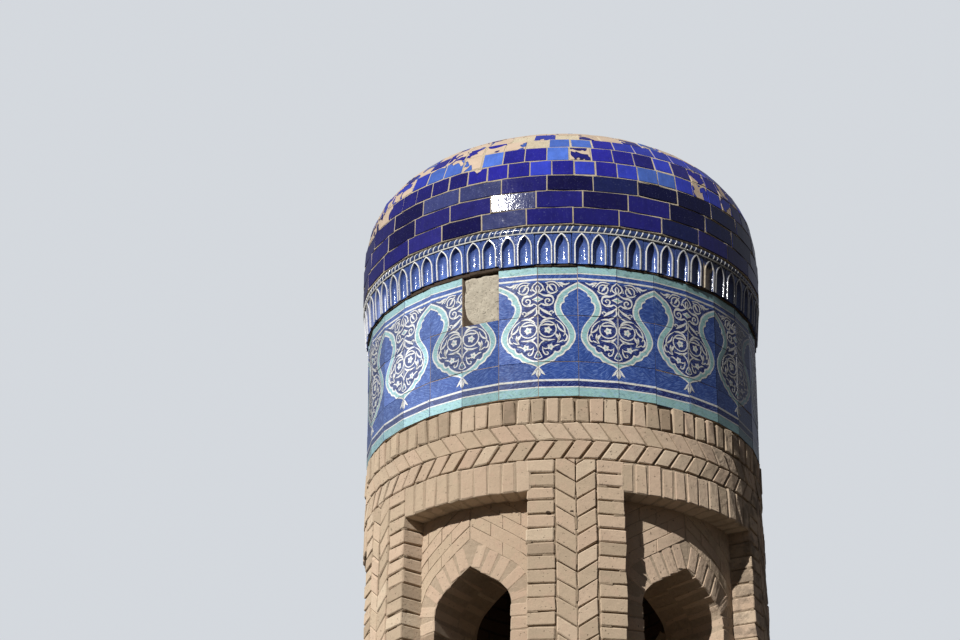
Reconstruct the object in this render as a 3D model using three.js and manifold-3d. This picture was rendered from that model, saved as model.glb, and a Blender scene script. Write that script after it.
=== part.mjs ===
// A small brick minaret, in millimetres, +Z up, the origin on the ground at the tower's axis.
//
// A tapering hollow brick shaft stands on a round plinth. It carries a lantern with five
// arched windows set in shallow recesses between five piers, then three bands of patterned
// brick, a drum faced with three courses of glazed tiles, a frieze, a rope moulding and a
// low dome of glazed brick. Angles are in degrees round the axis: 0 faces -Y, where the
// front pier stands, and they grow towards +X.

import * as THREE from "three";
import { mergeVertices } from "three/addons/utils/BufferGeometryUtils.js";
import Module from "manifold-3d";

const wasm = await Module();
wasm.setup();

// Clearance kept between neighbouring solids
const GAP = 0.3;

// Facets round the whole tower
const FACETS = 48;

// Heights above the ground, from bottom to top
const PLINTH_TOP = 200;
const SHAFT_MIDDLE = 2450;
const SHAFT_TOP = 4700;
const BELT_SOLDIER_TOP = 4822;
const BELT_HERRINGBONE_TOP = 4994;
const LANTERN_FLOOR = 5140;
const WINDOW_SILL = 5265;
const WINDOW_SPRING = 6175;
const RECESS_TOP = 6640;
const LINTEL_TOP = 6786;
const HERRINGBONE_TOP = 6958;
const BAND_BOTTOM = 7080;
const TILE_JOINT_LOW = 7245;
const TILE_JOINT_HIGH = 7466;
const BAND_TOP = 7705;
const FRIEZE_TOP = 7862;
const ROPE_TOP = 7898;

// Outer radii: the brickwork widens downwards from the tiled band at a steady taper
const BAND_RADIUS = 900;
const TAPER = 0.02;
const PLINTH_RADIUS = 1130;
const FRIEZE_RADIUS_LOW = 912;
const FRIEZE_RADIUS_HIGH = 922;
const ROPE_RADIUS = 930;
const ROPE_SEAT_RADIUS = 880;

// Walls
const SHAFT_WALL = 450;
const LANTERN_INNER_RADIUS = 480;
const FLOOR_LEDGE_RADIUS = 380;
const TILE_THICKNESS = 30;

// Lantern: five piers laid out by hand, so the bays between them and their windows differ
const PIERS = [
  { name: "front", angle: 0 },
  { name: "right", angle: 75 },
  { name: "back_right", angle: 148 },
  { name: "back_left", angle: 220 },
  { name: "left", angle: 293 },
];
const WINDOWS = [
  { name: "front_right", width: 464, slope: 31 },
  { name: "right", width: 450, slope: 31 },
  { name: "back", width: 440, slope: 31 },
  { name: "left", width: 450, slope: 31 },
  { name: "front_left", width: 382, slope: 34 },
];
const PIER_HALF_ANGLE = 13.4;
const RECESS_DEPTH = 105;
const WINDOW_HAUNCH_RADIUS = 130;

// Pointed arches rise from a round haunch to the crown along a straight slope
const HAUNCH_STEPS = 5;

// Shaft: five segments in each tier, with a doorway at the foot of the one behind
const SHAFT_SEGMENTS = [
  { name: "front_right", from: 0, to: 72 },
  { name: "right", from: 72, to: 144 },
  { name: "back", from: 144, to: 216 },
  { name: "left", from: 216, to: 288 },
  { name: "front_left", from: 288, to: 360 },
];
const DOOR_SEGMENT = "back";
const DOOR_ANGLE = 180;
const DOOR_WIDTH = 600;
const DOOR_SPRING = 1512.5;
const DOOR_HAUNCH_RADIUS = 200;
const DOOR_SLOPE = 34;

// One tile of the top course has fallen off
const MISSING_TILE_FROM = -32.5;
const MISSING_TILE_TO = -21.25;

// Dome: a superellipse outside, half an ellipse inside
const DOME_RADIUS = 926;
const DOME_RISE = 775;
const DOME_POWER_UP = 4.1;
const DOME_POWER_OUT = 1.25;
const DOME_STEPS = 12;
const DOME_INNER_RISE = 520;
const DOME_INNER_STEPS = 5;

// Rope moulding: its half-round edge
const ROPE_STEPS = 3;

// Reach of the solids that only cut
const FAR = 3000;

const brick = new THREE.MeshStandardMaterial({ color: 0xb99c78, roughness: 0.92, metalness: 0 });
const mortar = new THREE.MeshStandardMaterial({ color: 0xa8977c, roughness: 0.95, metalness: 0 });
const tile = new THREE.MeshStandardMaterial({ color: 0x2c55a8, roughness: 0.3, metalness: 0 });
const glazedBrick = new THREE.MeshStandardMaterial({ color: 0x1b2f8c, roughness: 0.2, metalness: 0 });

function outerRadius(z) {
  return BAND_RADIUS + Math.max(0, BAND_BOTTOM - z) * TAPER;
}

// A solid for cutting and joining, from a closed three.js geometry
function solidFrom(geometry) {
  geometry.deleteAttribute("normal");
  geometry.deleteAttribute("uv");
  const merged = mergeVertices(geometry, 0.001);
  const corners = merged.index.array;
  const kept = [];
  for (let i = 0; i < corners.length; i += 3) {
    const [a, b, c] = corners.slice(i, i + 3);
    if (a !== b && b !== c && c !== a) kept.push(a, b, c);
  }
  return new wasm.Manifold(new wasm.Mesh({
    numProp: 3,
    vertProperties: new Float32Array(merged.attributes.position.array),
    triVerts: new Uint32Array(kept),
  }));
}

// A [radius, height] outline turned round the tower's axis
function turned(outline) {
  const points = outline.map(([radius, z]) => new THREE.Vector2(radius, z));
  return solidFrom(new THREE.LatheGeometry(points, FACETS).rotateX(Math.PI / 2));
}

// A ring between two heights, its inner radius a number or a function of the height
function ring(bottom, top, inner, outer = outerRadius) {
  const at = (radius, z) => (typeof radius === "function" ? radius(z) : radius);
  return turned([
    [at(inner, bottom), bottom],
    [at(outer, bottom), bottom],
    [at(outer, top), top],
    [at(inner, top), top],
    [at(inner, bottom), bottom],
  ]);
}

function disc(bottom, top, radius) {
  return turned([[0, bottom], [radius, bottom], [radius, top], [0, top]]);
}

// The plan direction at an angle round the tower
function direction(degrees) {
  const turn = THREE.MathUtils.degToRad(degrees);
  return new THREE.Vector2(Math.sin(turn), -Math.cos(turn));
}

// An upright wedge between two angles, each side drawn in by half a gap
function wedge(from, to) {
  const half = THREE.MathUtils.degToRad((to - from) / 2);
  const middle = (from + to) / 2;
  const apex = direction(middle).multiplyScalar(GAP / 2 / Math.sin(half));
  const reach = FAR / Math.cos(half);
  const shape = new THREE.Shape([
    apex,
    direction(from).multiplyScalar(reach).add(apex),
    direction(to).multiplyScalar(reach).add(apex),
  ]);
  return solidFrom(new THREE.ExtrudeGeometry(shape, { depth: 3 * FAR, bevelEnabled: false }));
}

// An upright outline, wide by high, driven outwards from the axis at an angle
function passage(shape, degrees) {
  const geometry = new THREE.ExtrudeGeometry(shape, {
    depth: FAR,
    bevelEnabled: false,
    curveSegments: HAUNCH_STEPS,
  });
  geometry.rotateX(Math.PI / 2);
  geometry.rotateZ(THREE.MathUtils.degToRad(degrees));
  return solidFrom(geometry);
}

// A doorway outline: upright jambs, a round haunch on each side, straight slopes to the crown
function pointedOpening(width, bottom, spring, haunchRadius, slopeDegrees) {
  const half = width / 2;
  const slope = THREE.MathUtils.degToRad(slopeDegrees);
  const haunchTurn = Math.PI / 2 - slope;
  const haunchEnd = half - haunchRadius * (1 - Math.cos(haunchTurn));
  const crown = spring + haunchRadius * Math.sin(haunchTurn) + haunchEnd * Math.tan(slope);
  const shape = new THREE.Shape();
  shape.moveTo(-half, bottom);
  shape.lineTo(half, bottom);
  shape.lineTo(half, spring);
  shape.absarc(half - haunchRadius, spring, haunchRadius, 0, haunchTurn, false);
  shape.lineTo(0, crown);
  shape.absarc(haunchRadius - half, spring, haunchRadius, Math.PI - haunchTurn, Math.PI, false);
  return shape;
}

function straightOpening(width, bottom, top) {
  const half = width / 2;
  return new THREE.Shape([
    new THREE.Vector2(-half, bottom),
    new THREE.Vector2(half, bottom),
    new THREE.Vector2(half, top),
    new THREE.Vector2(-half, top),
  ]);
}

const minaret = new THREE.Group();

function addPiece(name, solid, material) {
  const made = solid.getMesh();
  const geometry = new THREE.BufferGeometry();
  geometry.setAttribute("position", new THREE.BufferAttribute(made.vertProperties, 3));
  geometry.setIndex(new THREE.BufferAttribute(made.triVerts, 1));
  const mesh = new THREE.Mesh(geometry, material);
  mesh.name = name;
  minaret.add(mesh);
}

function addShaft() {
  addPiece("plinth", disc(0, PLINTH_TOP, PLINTH_RADIUS), brick);

  const inner = (z) => outerRadius(z) - SHAFT_WALL;
  const lower = ring(PLINTH_TOP + GAP, SHAFT_MIDDLE, inner);
  const upper = ring(SHAFT_MIDDLE + GAP, SHAFT_TOP, inner);
  for (const { name, from, to } of SHAFT_SEGMENTS) {
    const sector = wedge(from, to);
    addPiece(`shaft_upper_${name}`, upper.intersect(sector), brick);
    if (name !== DOOR_SEGMENT) addPiece(`shaft_lower_${name}`, lower.intersect(sector), brick);
  }

  const back = SHAFT_SEGMENTS.find(({ name }) => name === DOOR_SEGMENT);
  const opening = pointedOpening(DOOR_WIDTH, 0, DOOR_SPRING, DOOR_HAUNCH_RADIUS, DOOR_SLOPE);
  const doorway = passage(opening, DOOR_ANGLE);
  const jambs = ring(PLINTH_TOP + GAP, DOOR_SPRING, inner).subtract(doorway);
  const head = ring(DOOR_SPRING + GAP, SHAFT_MIDDLE, inner).subtract(doorway);
  addPiece("doorway_jamb_right", jambs.intersect(wedge(back.from, DOOR_ANGLE)), brick);
  addPiece("doorway_jamb_left", jambs.intersect(wedge(DOOR_ANGLE, back.to)), brick);
  addPiece("doorway_arch", head.intersect(wedge(back.from, back.to)), brick);
}

function addBeltAndFloor() {
  const ledge = FLOOR_LEDGE_RADIUS;
  const belt = [
    ["belt_soldier_course", SHAFT_TOP, BELT_SOLDIER_TOP, LANTERN_INNER_RADIUS],
    ["belt_herringbone_band", BELT_SOLDIER_TOP, BELT_HERRINGBONE_TOP, ledge],
    ["sill_course", BELT_HERRINGBONE_TOP, LANTERN_FLOOR, LANTERN_INNER_RADIUS],
  ];
  for (const [name, bottom, top, inner] of belt) {
    addPiece(name, ring(bottom + GAP, top, inner), brick);
  }
  const floor = disc(BELT_HERRINGBONE_TOP + GAP, LANTERN_FLOOR, LANTERN_INNER_RADIUS - GAP);
  addPiece("lantern_floor", floor, brick);
}

function addLantern() {
  const recessRadius = (z) => outerRadius(z) - RECESS_DEPTH;
  const inner = LANTERN_INNER_RADIUS;
  const pierDrum = ring(LANTERN_FLOOR + GAP, RECESS_TOP, inner);
  const wallDrum = ring(LANTERN_FLOOR + GAP, WINDOW_SPRING, inner, recessRadius);
  const archDrum = ring(WINDOW_SPRING + GAP, RECESS_TOP, inner, recessRadius);
  const sillDrum = ring(LANTERN_FLOOR + GAP, WINDOW_SILL, inner, recessRadius);
  const count = PIERS.length;
  const turnTo = (i) => PIERS[(i + count) % count].angle + 360 * Math.floor(i / count);
  const bayMiddle = (i) => (turnTo(i) + turnTo(i + 1)) / 2;
  const windowPassage = (i) => {
    const { width, slope } = WINDOWS[(i + count) % count];
    const opening = pointedOpening(width, 0, WINDOW_SPRING, WINDOW_HAUNCH_RADIUS, slope);
    return passage(opening, bayMiddle(i));
  };

  for (let i = 0; i < count; i += 1) {
    const angle = turnTo(i);
    const shank = pierDrum.intersect(wedge(angle - PIER_HALF_ANGLE, angle + PIER_HALF_ANGLE));
    const wings = wallDrum.intersect(wedge(bayMiddle(i - 1), bayMiddle(i)));
    const pier = shank.add(wings).subtract(windowPassage(i - 1)).subtract(windowPassage(i));
    addPiece(`pier_${PIERS[i].name}`, pier, brick);
  }

  for (let i = 0; i < count; i += 1) {
    const { name, width } = WINDOWS[i];
    const from = turnTo(i) + PIER_HALF_ANGLE;
    const to = turnTo(i + 1) - PIER_HALF_ANGLE;
    const arch = archDrum.intersect(wedge(from, to)).subtract(windowPassage(i));
    addPiece(`window_arch_${name}`, arch, brick);
    const sillBlock = straightOpening(width - 2 * GAP, 0, FAR * 2);
    const sill = sillDrum.intersect(passage(sillBlock, bayMiddle(i)));
    addPiece(`window_sill_${name}`, sill, brick);
  }
}

function addBandsAndDrum() {
  const inner = LANTERN_INNER_RADIUS;
  addPiece("lintel_course", ring(RECESS_TOP + GAP, LINTEL_TOP, inner), brick);
  addPiece("herringbone_band", ring(LINTEL_TOP + GAP, HERRINGBONE_TOP, inner), brick);
  addPiece("soldier_course", ring(HERRINGBONE_TOP + GAP, BAND_BOTTOM, inner), brick);

  const coreRadius = BAND_RADIUS - TILE_THICKNESS;
  addPiece("band_drum", ring(BAND_BOTTOM + GAP, BAND_TOP, inner, coreRadius - GAP), mortar);
  const low = ring(BAND_BOTTOM + GAP, TILE_JOINT_LOW, coreRadius);
  const middle = ring(TILE_JOINT_LOW + GAP, TILE_JOINT_HIGH, coreRadius);
  const high = ring(TILE_JOINT_HIGH + GAP, BAND_TOP, coreRadius);
  addPiece("tile_course_low", low, tile);
  addPiece("tile_course_middle", middle, tile);
  addPiece("tile_course_high", high.subtract(wedge(MISSING_TILE_FROM, MISSING_TILE_TO)), tile);
}

function addFriezeAndRope() {
  const inner = LANTERN_INNER_RADIUS;
  const frieze = turned([
    [inner, BAND_TOP + GAP],
    [FRIEZE_RADIUS_LOW, BAND_TOP + GAP],
    [FRIEZE_RADIUS_HIGH, FRIEZE_TOP],
    [ROPE_SEAT_RADIUS, FRIEZE_TOP],
    [ROPE_SEAT_RADIUS, ROPE_TOP],
    [inner, ROPE_TOP],
    [inner, BAND_TOP + GAP],
  ]);
  addPiece("niche_frieze", frieze, tile);

  const seat = ROPE_SEAT_RADIUS + GAP;
  const bottom = FRIEZE_TOP + GAP;
  const halfHeight = (ROPE_TOP - bottom) / 2;
  const outline = [[seat, bottom]];
  for (let i = 0; i <= ROPE_STEPS; i += 1) {
    const turn = Math.PI * (i / ROPE_STEPS - 0.5);
    const radius = ROPE_RADIUS - halfHeight * (1 - Math.cos(turn));
    outline.push([radius, bottom + halfHeight * (1 + Math.sin(turn))]);
  }
  outline.push([seat, ROPE_TOP], [seat, bottom]);
  addPiece("rope_moulding", turned(outline), tile);
}

function addDome() {
  const base = ROPE_TOP + GAP;
  const outside = [[0, base]];
  for (let i = 0; i <= DOME_STEPS; i += 1) {
    const rise = Math.sin((Math.PI / 2) * (i / DOME_STEPS));
    const radius = DOME_RADIUS * (1 - rise ** DOME_POWER_UP) ** (1 / DOME_POWER_OUT);
    outside.push([i < DOME_STEPS ? radius : 0, base + DOME_RISE * rise]);
  }
  const inside = [[0, ROPE_TOP], [LANTERN_INNER_RADIUS, ROPE_TOP]];
  for (let i = 0; i <= DOME_INNER_STEPS; i += 1) {
    const turn = (Math.PI / 2) * (i / DOME_INNER_STEPS);
    const radius = i < DOME_INNER_STEPS ? LANTERN_INNER_RADIUS * Math.cos(turn) : 0;
    inside.push([radius, base + DOME_INNER_RISE * Math.sin(turn)]);
  }
  addPiece("dome", turned(outside).subtract(turned(inside)), glazedBrick);
}

addShaft();
addBeltAndFloor();
addLantern();
addBandsAndDrum();
addFriezeAndRope();
addDome();

export default minaret;
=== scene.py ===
"""Looks for a small brick minaret: laid bricks, glazed tile band, niche frieze, rope and dome.

All lengths are in metres, +Z up, the origin on the ground at the tower's axis. Angles are
round the axis: 0 faces -Y, where the front pier stands, and they grow towards +X.
"""

import math

import bpy
import numpy as np
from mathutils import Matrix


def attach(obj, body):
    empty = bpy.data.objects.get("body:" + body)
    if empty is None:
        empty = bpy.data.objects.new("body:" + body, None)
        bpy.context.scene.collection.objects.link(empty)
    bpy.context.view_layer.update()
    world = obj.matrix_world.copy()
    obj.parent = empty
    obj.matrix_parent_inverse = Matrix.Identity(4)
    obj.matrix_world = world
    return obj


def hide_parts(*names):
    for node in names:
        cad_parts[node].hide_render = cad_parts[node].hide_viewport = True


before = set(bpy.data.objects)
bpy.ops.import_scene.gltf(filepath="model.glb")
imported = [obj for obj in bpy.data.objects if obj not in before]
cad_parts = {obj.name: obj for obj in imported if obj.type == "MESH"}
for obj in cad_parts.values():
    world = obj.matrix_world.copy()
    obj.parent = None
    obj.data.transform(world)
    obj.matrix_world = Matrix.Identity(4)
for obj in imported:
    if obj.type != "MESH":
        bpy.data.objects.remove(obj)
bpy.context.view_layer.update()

# Heights, as in the part
PLINTH_TOP = 0.200
SHAFT_TOP = 4.700
BELT_SOLDIER_TOP = 4.822
BELT_HERRINGBONE_TOP = 4.994
LANTERN_FLOOR = 5.140
WINDOW_SILL = 5.265
WINDOW_SPRING = 6.175
RECESS_TOP = 6.640
LINTEL_TOP = 6.786
HERRINGBONE_TOP = 6.958
BAND_BOTTOM = 7.080
BAND_TOP = 7.705
FRIEZE_TOP = 7.862
ROPE_TOP = 7.898

# Radii and walls, as in the part
BAND_RADIUS = 0.900
TAPER = 0.02
PLINTH_RADIUS = 1.130
SHAFT_WALL = 0.450
LANTERN_INNER = 0.480
FLOOR_LEDGE = 0.380
RECESS_DEPTH = 0.105
FRIEZE_RADIUS = 0.912
ROPE_RADIUS = 0.930
DOME_RADIUS = 0.926
DOME_RISE = 0.775
DOME_POWER_UP = 4.1
DOME_POWER_OUT = 1.25
DOME_INNER_RISE = 0.520

# Lantern piers, and the recessed bays between them: the middle and half width of each in
# degrees, then its window's half width and the slope of the window's head in degrees
PIER_ANGLES = (0, 75, 148, 220, 293)
PIER_HALF_ANGLE = 13.4
BAYS = (
    (37.5, 24.1, 0.232, 31),
    (111.5, 23.1, 0.225, 31),
    (184.0, 22.6, 0.220, 31),
    (256.5, 23.1, 0.225, 31),
    (326.5, 20.1, 0.191, 34),
)
WINDOW_HAUNCH = 0.130

# Doorway at the foot, on the side away from the front pier
DOOR_ANGLE = 180
DOOR_HALF = 0.300
DOOR_SPRING = 1.5125
DOOR_HAUNCH = 0.200
DOOR_SLOPE = 34

# Brickwork
COURSE = 0.0625
BRICK_HEIGHT = 0.054
STRETCHER = 0.250
JOINT_DEPTH = 0.012
SOLDIERS_ROUND = 88
HERRINGBONES_ROUND = 70

# Tile band: tiles round the tower, and the angle of one joint between them
TILES_ROUND = 32
TILE_TURN = 360 / TILES_ROUND
TILE_JOINT_ANGLE = -10.0
MISSING_TILE = -2

pi = math.pi


def wall_radius(up):
    return BAND_RADIUS + np.maximum(0.0, BAND_BOTTOM - np.asarray(up, float)) * TAPER


def recess_radius(up):
    return wall_radius(up) - RECESS_DEPTH


def joint_radius(up):
    return wall_radius(up) - JOINT_DEPTH


def from_axis(turn, reach, across=0.0):
    """The place at some distance out at an angle, and then some way to the right of it."""
    x = reach * np.sin(turn) + across * np.cos(turn)
    y = -reach * np.cos(turn) + across * np.sin(turn)
    return x, y


def colour(red, green, blue):
    """A colour as seen in daylight, turned into the linear values that shaders take."""

    def linear(value):
        value = value / 255
        return value / 12.92 if value <= 0.04045 else ((value + 0.055) / 1.055) ** 2.4

    return (linear(red), linear(green), linear(blue), 1.0)


COBALT = colour(46, 72, 136)
NAVY = colour(27, 34, 90)
TURQUOISE = colour(140, 178, 172)
CREAM = colour(216, 213, 200)
NICHE_BLUE = colour(52, 74, 134)
# Painted light and shade in the niches' hollows: a paler foot and a darker head
NICHE_SHADED_HEAD = colour(62, 82, 144)
NICHE_LIT_FOOT = colour(82, 108, 170)
NICHE_WHITE = colour(232, 230, 222)
ROPE_BLUE = colour(40, 58, 104)


class Wire:
    """A value in a material's node tree, with arithmetic."""

    def __init__(self, tree, socket):
        self.tree = tree
        self.socket = socket

    def math(self, operation, *values):
        node = self.tree.nodes.new("ShaderNodeMath")
        node.operation = operation
        for socket, value in zip(node.inputs, values):
            plug(self.tree, socket, value)
        return Wire(self.tree, node.outputs[0])

    def __add__(self, other):
        return self.math("ADD", self, other)

    def __sub__(self, other):
        return self.math("SUBTRACT", self, other)

    def __mul__(self, other):
        return self.math("MULTIPLY", self, other)

    def __radd__(self, other):
        return self.math("ADD", other, self)

    def __rsub__(self, other):
        return self.math("SUBTRACT", other, self)

    def __rmul__(self, other):
        return self.math("MULTIPLY", other, self)


def plug(tree, socket, value):
    if isinstance(value, Wire):
        tree.links.new(value.socket, socket)
    else:
        socket.default_value = value


class Nodes:
    """A node tree, and one way to add any node to it."""

    def __init__(self, tree):
        self.tree = tree

    def node(self, kind, settings=None, inputs=None, output=0):
        made = self.tree.nodes.new("ShaderNode" + kind)
        for key, value in (settings or {}).items():
            if key == "stops":
                ramp = made.color_ramp.elements
                while len(ramp) < len(value):
                    ramp.new(0.5)
                for element, (position, tone) in zip(ramp, value):
                    element.position = position
                    element.color = tone
            else:
                setattr(made, key, value)
        for key, value in (inputs or {}).items():
            plug(self.tree, made.inputs[key], value)
        return Wire(self.tree, made.outputs[output])


class Finish(Nodes):
    """A procedural material on the Principled shader."""

    def __init__(self, name, roughness=0.9):
        self.material = bpy.data.materials.new(name)
        self.material.use_nodes = True
        super().__init__(self.material.node_tree)
        self.shader = self.tree.nodes["Principled BSDF"]
        self.shader.inputs["Roughness"].default_value = roughness
        self.shader.inputs["Diffuse Roughness"].default_value = 1.0 if roughness > 0.5 else 0.0
        self.place = self.node("TexCoord", output="Object")

    def noise(self, scale, detail=3.0, roughness=0.55, distortion=0.0, place=None):
        return self.node("TexNoise", inputs={
            "Vector": place or self.place, "Scale": scale, "Detail": detail,
            "Roughness": roughness, "Distortion": distortion})

    def stretched(self, size, turn=(0, 0, 0)):
        return self.node(
            "Mapping", inputs={"Vector": self.place, "Rotation": turn, "Scale": size})

    def part(self, axis):
        """One of the three coordinates."""
        return self.node("SeparateXYZ", inputs={0: self.place}, output=axis)

    def attribute(self, name, output="Fac"):
        return self.node("Attribute", {"attribute_name": name}, output=output)

    def between(self, value, low, high):
        """0 where a value is under low, 1 over high, smooth in between."""
        return self.node(
            "MapRange", {"interpolation_type": "SMOOTHSTEP"},
            {"Value": value, "From Min": low, "From Max": high})

    def over(self, tone, *coats):
        """A colour under coats of others, each given as its share and its colour."""
        for share, coat in coats:
            tone = self.node("Mix", {"data_type": "RGBA"}, {0: share, 6: tone, 7: coat}, 2)
        return tone

    def scaled(self, tone, amount):
        """A colour made lighter or darker by a value."""
        return self.node("VectorMath", {"operation": "SCALE"}, {0: tone, "Scale": amount})

    def bump(self, height, distance):
        normal = self.node(
            "Bump", inputs={"Height": height, "Distance": distance, "Strength": 1.0})
        plug(self.tree, self.shader.inputs["Normal"], normal)

    def show(self, **sockets):
        for name, value in sockets.items():
            plug(self.tree, self.shader.inputs[name.replace("_", " ")], value)
        return self.material


def brick_finish():
    """Buff brick: mixed firings, pitted and weathered, stained and darkened as painted shade on
    the side away from the sun.
    """
    finish = Finish("buff_brick")
    weather = finish.between(finish.noise(1.7, 4.0, 0.6), 0.5, 0.75)
    mottle = finish.noise(34.0, 4.0, 0.6)
    grain = finish.noise(210.0, 4.0, 0.7)
    pits = finish.between(finish.noise(95.0, 2.0, 0.5), 0.66, 0.74)
    blush = finish.between(finish.noise(19.0, 3.0, 0.6), 0.5, 0.68)
    # Painted shade: patchy darkening on the side away from the sun, partly real stains and partly
    # shade painted into the colour
    shaded_side = finish.between(finish.part(0), 0.5, 0.86)
    stains_and_shade = shaded_side * finish.between(finish.noise(9.0, 5.0, 0.65), 0.44, 0.62)
    firings = (
        (0.0, colour(138, 118, 96)), (0.25, colour(184, 165, 140)), (0.5, colour(195, 175, 149)),
        (0.78, colour(200, 176, 152)), (1.0, colour(206, 189, 164)),
    )
    tone = finish.over(
        finish.node("ValToRGB", {"stops": firings}, {0: finish.attribute("tint")}),
        (blush * 0.25, colour(202, 171, 149)), (mottle * 0.4, colour(172, 150, 124)),
        (weather * 0.3, colour(158, 140, 118)), (stains_and_shade * 0.75, colour(112, 96, 80)),
        (pits * 0.7, colour(112, 92, 72)),
    )
    finish.bump(grain * 0.5 + mottle * 1.6 - pits * 1.2 + stains_and_shade * 1.5, 0.0028)
    return finish.show(Base_Color=finish.scaled(tone, grain * 0.45 + 0.78))


def mortar_finish(name, light, dark, strawy=False):
    """Lumpy mortar between two daylight colours, with chopped straw in it or not."""
    finish = Finish(name, roughness=0.95)
    lumps = finish.noise(46.0, 4.0, 0.65)
    grain = finish.noise(260.0, 4.0, 0.75)
    straw = finish.between(finish.noise(150.0, 1.0, 0.4), 0.68, 0.76)
    dark = colour(*dark)
    tone = finish.over(dark, (lumps, colour(*light)), (straw * 0.5, dark))
    tone = finish.scaled(tone, grain * 0.5 + 0.75)
    if strawy:
        lying = finish.noise(1.0, 1.0, 0.4, 0.3, finish.stretched((70, 70, 300), (0.4, 0, 0)))
        standing = finish.noise(1.0, 1.0, 0.4, 0.3, finish.stretched((300, 300, 70), (0, 0.5, 0)))
        straw = finish.between(lying, 0.68, 0.72) + finish.between(standing, 0.69, 0.73)
        tone = finish.over(tone, (straw * 0.85, colour(78, 66, 50)))
    finish.bump(lumps * 2.0 + grain * 0.6 - straw * 0.8, 0.003)
    return finish.show(Base_Color=tone)


def inner_brick_finish():
    """Coursed brick by shader alone, for walls seen only through openings, darkened as painted
    shade of the unlit inside.
    """
    finish = Finish("shaded_inner_brick")
    along = finish.part(0).math("ARCTAN2", finish.part(0), finish.part(1)) * 0.5
    level = finish.node("CombineXYZ", inputs={0: along, 1: finish.part(2), 2: 0.0})
    bricks = finish.node("TexBrick", inputs={
        "Vector": level, "Color1": colour(88, 70, 54), "Color2": colour(100, 80, 62),
        "Mortar": colour(70, 58, 46), "Scale": 1.0, "Mortar Size": 0.006,
        "Mortar Smooth": 0.2, "Brick Width": STRETCHER, "Row Height": COURSE})
    joint = Wire(finish.tree, bricks.socket.node.outputs["Fac"])
    grain = finish.noise(180.0, 4.0, 0.7)
    finish.bump(grain * 0.3 - joint * 1.5, 0.003)
    return finish.show(Base_Color=finish.scaled(bricks, grain * 0.5 + 0.7))


def majolica_finish():
    """Painted glaze: each colour brushed on in short slanting strokes, tiles of mixed depth, with
    painted sheen on the left and painted shade on the right.
    """
    finish = Finish("painted_majolica", roughness=0.1)
    glaze = finish.attribute("glaze", output="Color")
    spot = finish.attribute("spot", output="Vector")
    sway = finish.node("TexNoise", inputs={"Vector": spot, "Scale": 9.0, "Detail": 1.0}, output=1)
    bent = finish.node(
        "VectorMath", {"operation": "MULTIPLY_ADD"}, {0: sway, 1: (0.06, 0.06, 0), 2: spot})

    def strokes(turn, scale):
        laid = finish.node(
            "Mapping", {"vector_type": "TEXTURE"},
            {"Vector": bent, "Rotation": (0, 0, turn), "Scale": (1, 6, 1)})
        return finish.noise(scale, 3.0, 0.65, 0.2, laid)

    choice = finish.between(finish.noise(13.0, 1.0, 0.5, 0.0, spot), 0.46, 0.54)
    brush = strokes(1.1, 240.0) * choice + strokes(-1.2, 240.0) * (1 - choice)
    pale = finish.between(brush, 0.48, 0.66)
    deep = finish.between(brush, 0.5, 0.34)
    blots = finish.noise(95.0, 3.0, 0.6)
    pools = finish.noise(17.0, 2.0, 0.5)
    specks = finish.between(finish.noise(330.0, 1.0, 0.4), 0.71, 0.77)
    green = finish.node("SeparateColor", inputs={0: glaze}, output=1)
    light_glaze = finish.between(green, 0.02, 0.06)
    # Painted highlight: a pale sheen on the lighter glazes and a pale haze on the navy, both
    # strongest on the left, towards the sun
    painted_sheen = finish.between(finish.part(0), -0.15, -0.75) * light_glaze
    painted_haze_sheen = finish.between(finish.part(0), -0.05, -0.6) * (1 - light_glaze)
    # Painted shade: the glaze darkens towards the right, the side away from the sun
    painted_lee_shade = finish.between(finish.part(0), 0.0, 0.52)
    tone = finish.over(
        glaze, (pale * 0.42, colour(128, 152, 200)), (deep * 0.5, colour(34, 42, 96)),
        (painted_haze_sheen * 0.24, colour(150, 160, 182)), (painted_sheen * 0.12, colour(176, 190, 212)),
    )
    tone = finish.scaled(tone, painted_sheen * 0.15 + 1 - painted_lee_shade * 0.3)
    tone = finish.scaled(tone, finish.attribute("tint") * 0.52 + 0.76)
    tone = finish.scaled(tone, blots * 0.4 + pools * 0.4 + 0.6)
    tone = finish.over(tone, (specks * 0.6, colour(40, 44, 66)))
    finish.bump(brush * 0.3 + blots * 0.4 + pools * 0.6, 0.0003)
    return finish.show(Base_Color=tone, Roughness=blots * 0.08 + 0.04)


def frieze_finish():
    """Speckled blue glaze, with paler flecks and small dark pits, darkened towards the right as
    painted shade.
    """
    finish = Finish("speckled_glaze", roughness=0.1)
    flecks = finish.noise(380.0, 3.0, 0.7)
    pools = finish.noise(60.0, 3.0, 0.6)
    pits = finish.between(finish.noise(120.0, 2.0, 0.5), 0.68, 0.72)
    # Painted shade: a dark veil towards the right, the side away from the sun
    painted_lee_shade = finish.between(finish.part(0), 0.2, 0.75)
    worn = finish.between(finish.part(0), -0.80, -0.87)
    tone = finish.over(
        finish.attribute("glaze", output="Color"),
        (finish.between(flecks, 0.54, 0.64) * 0.45, colour(152, 166, 196)),
        (finish.between(flecks, 0.47, 0.36) * 0.65, colour(26, 30, 54)),
    )
    tone = finish.scaled(tone, pools * 0.9 + 0.5)
    tone = finish.scaled(tone, finish.attribute("tint") * 0.4 + 0.78)
    tone = finish.over(
        tone, (painted_lee_shade * 0.45, colour(38, 34, 42)), (pits * 0.8, colour(40, 32, 30)))
    finish.bump(pools * 0.7 + flecks * 0.2 - pits, 0.0011)
    return finish.show(Base_Color=tone, Roughness=pools * 0.12 + 0.05 + worn * 0.5)


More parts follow.
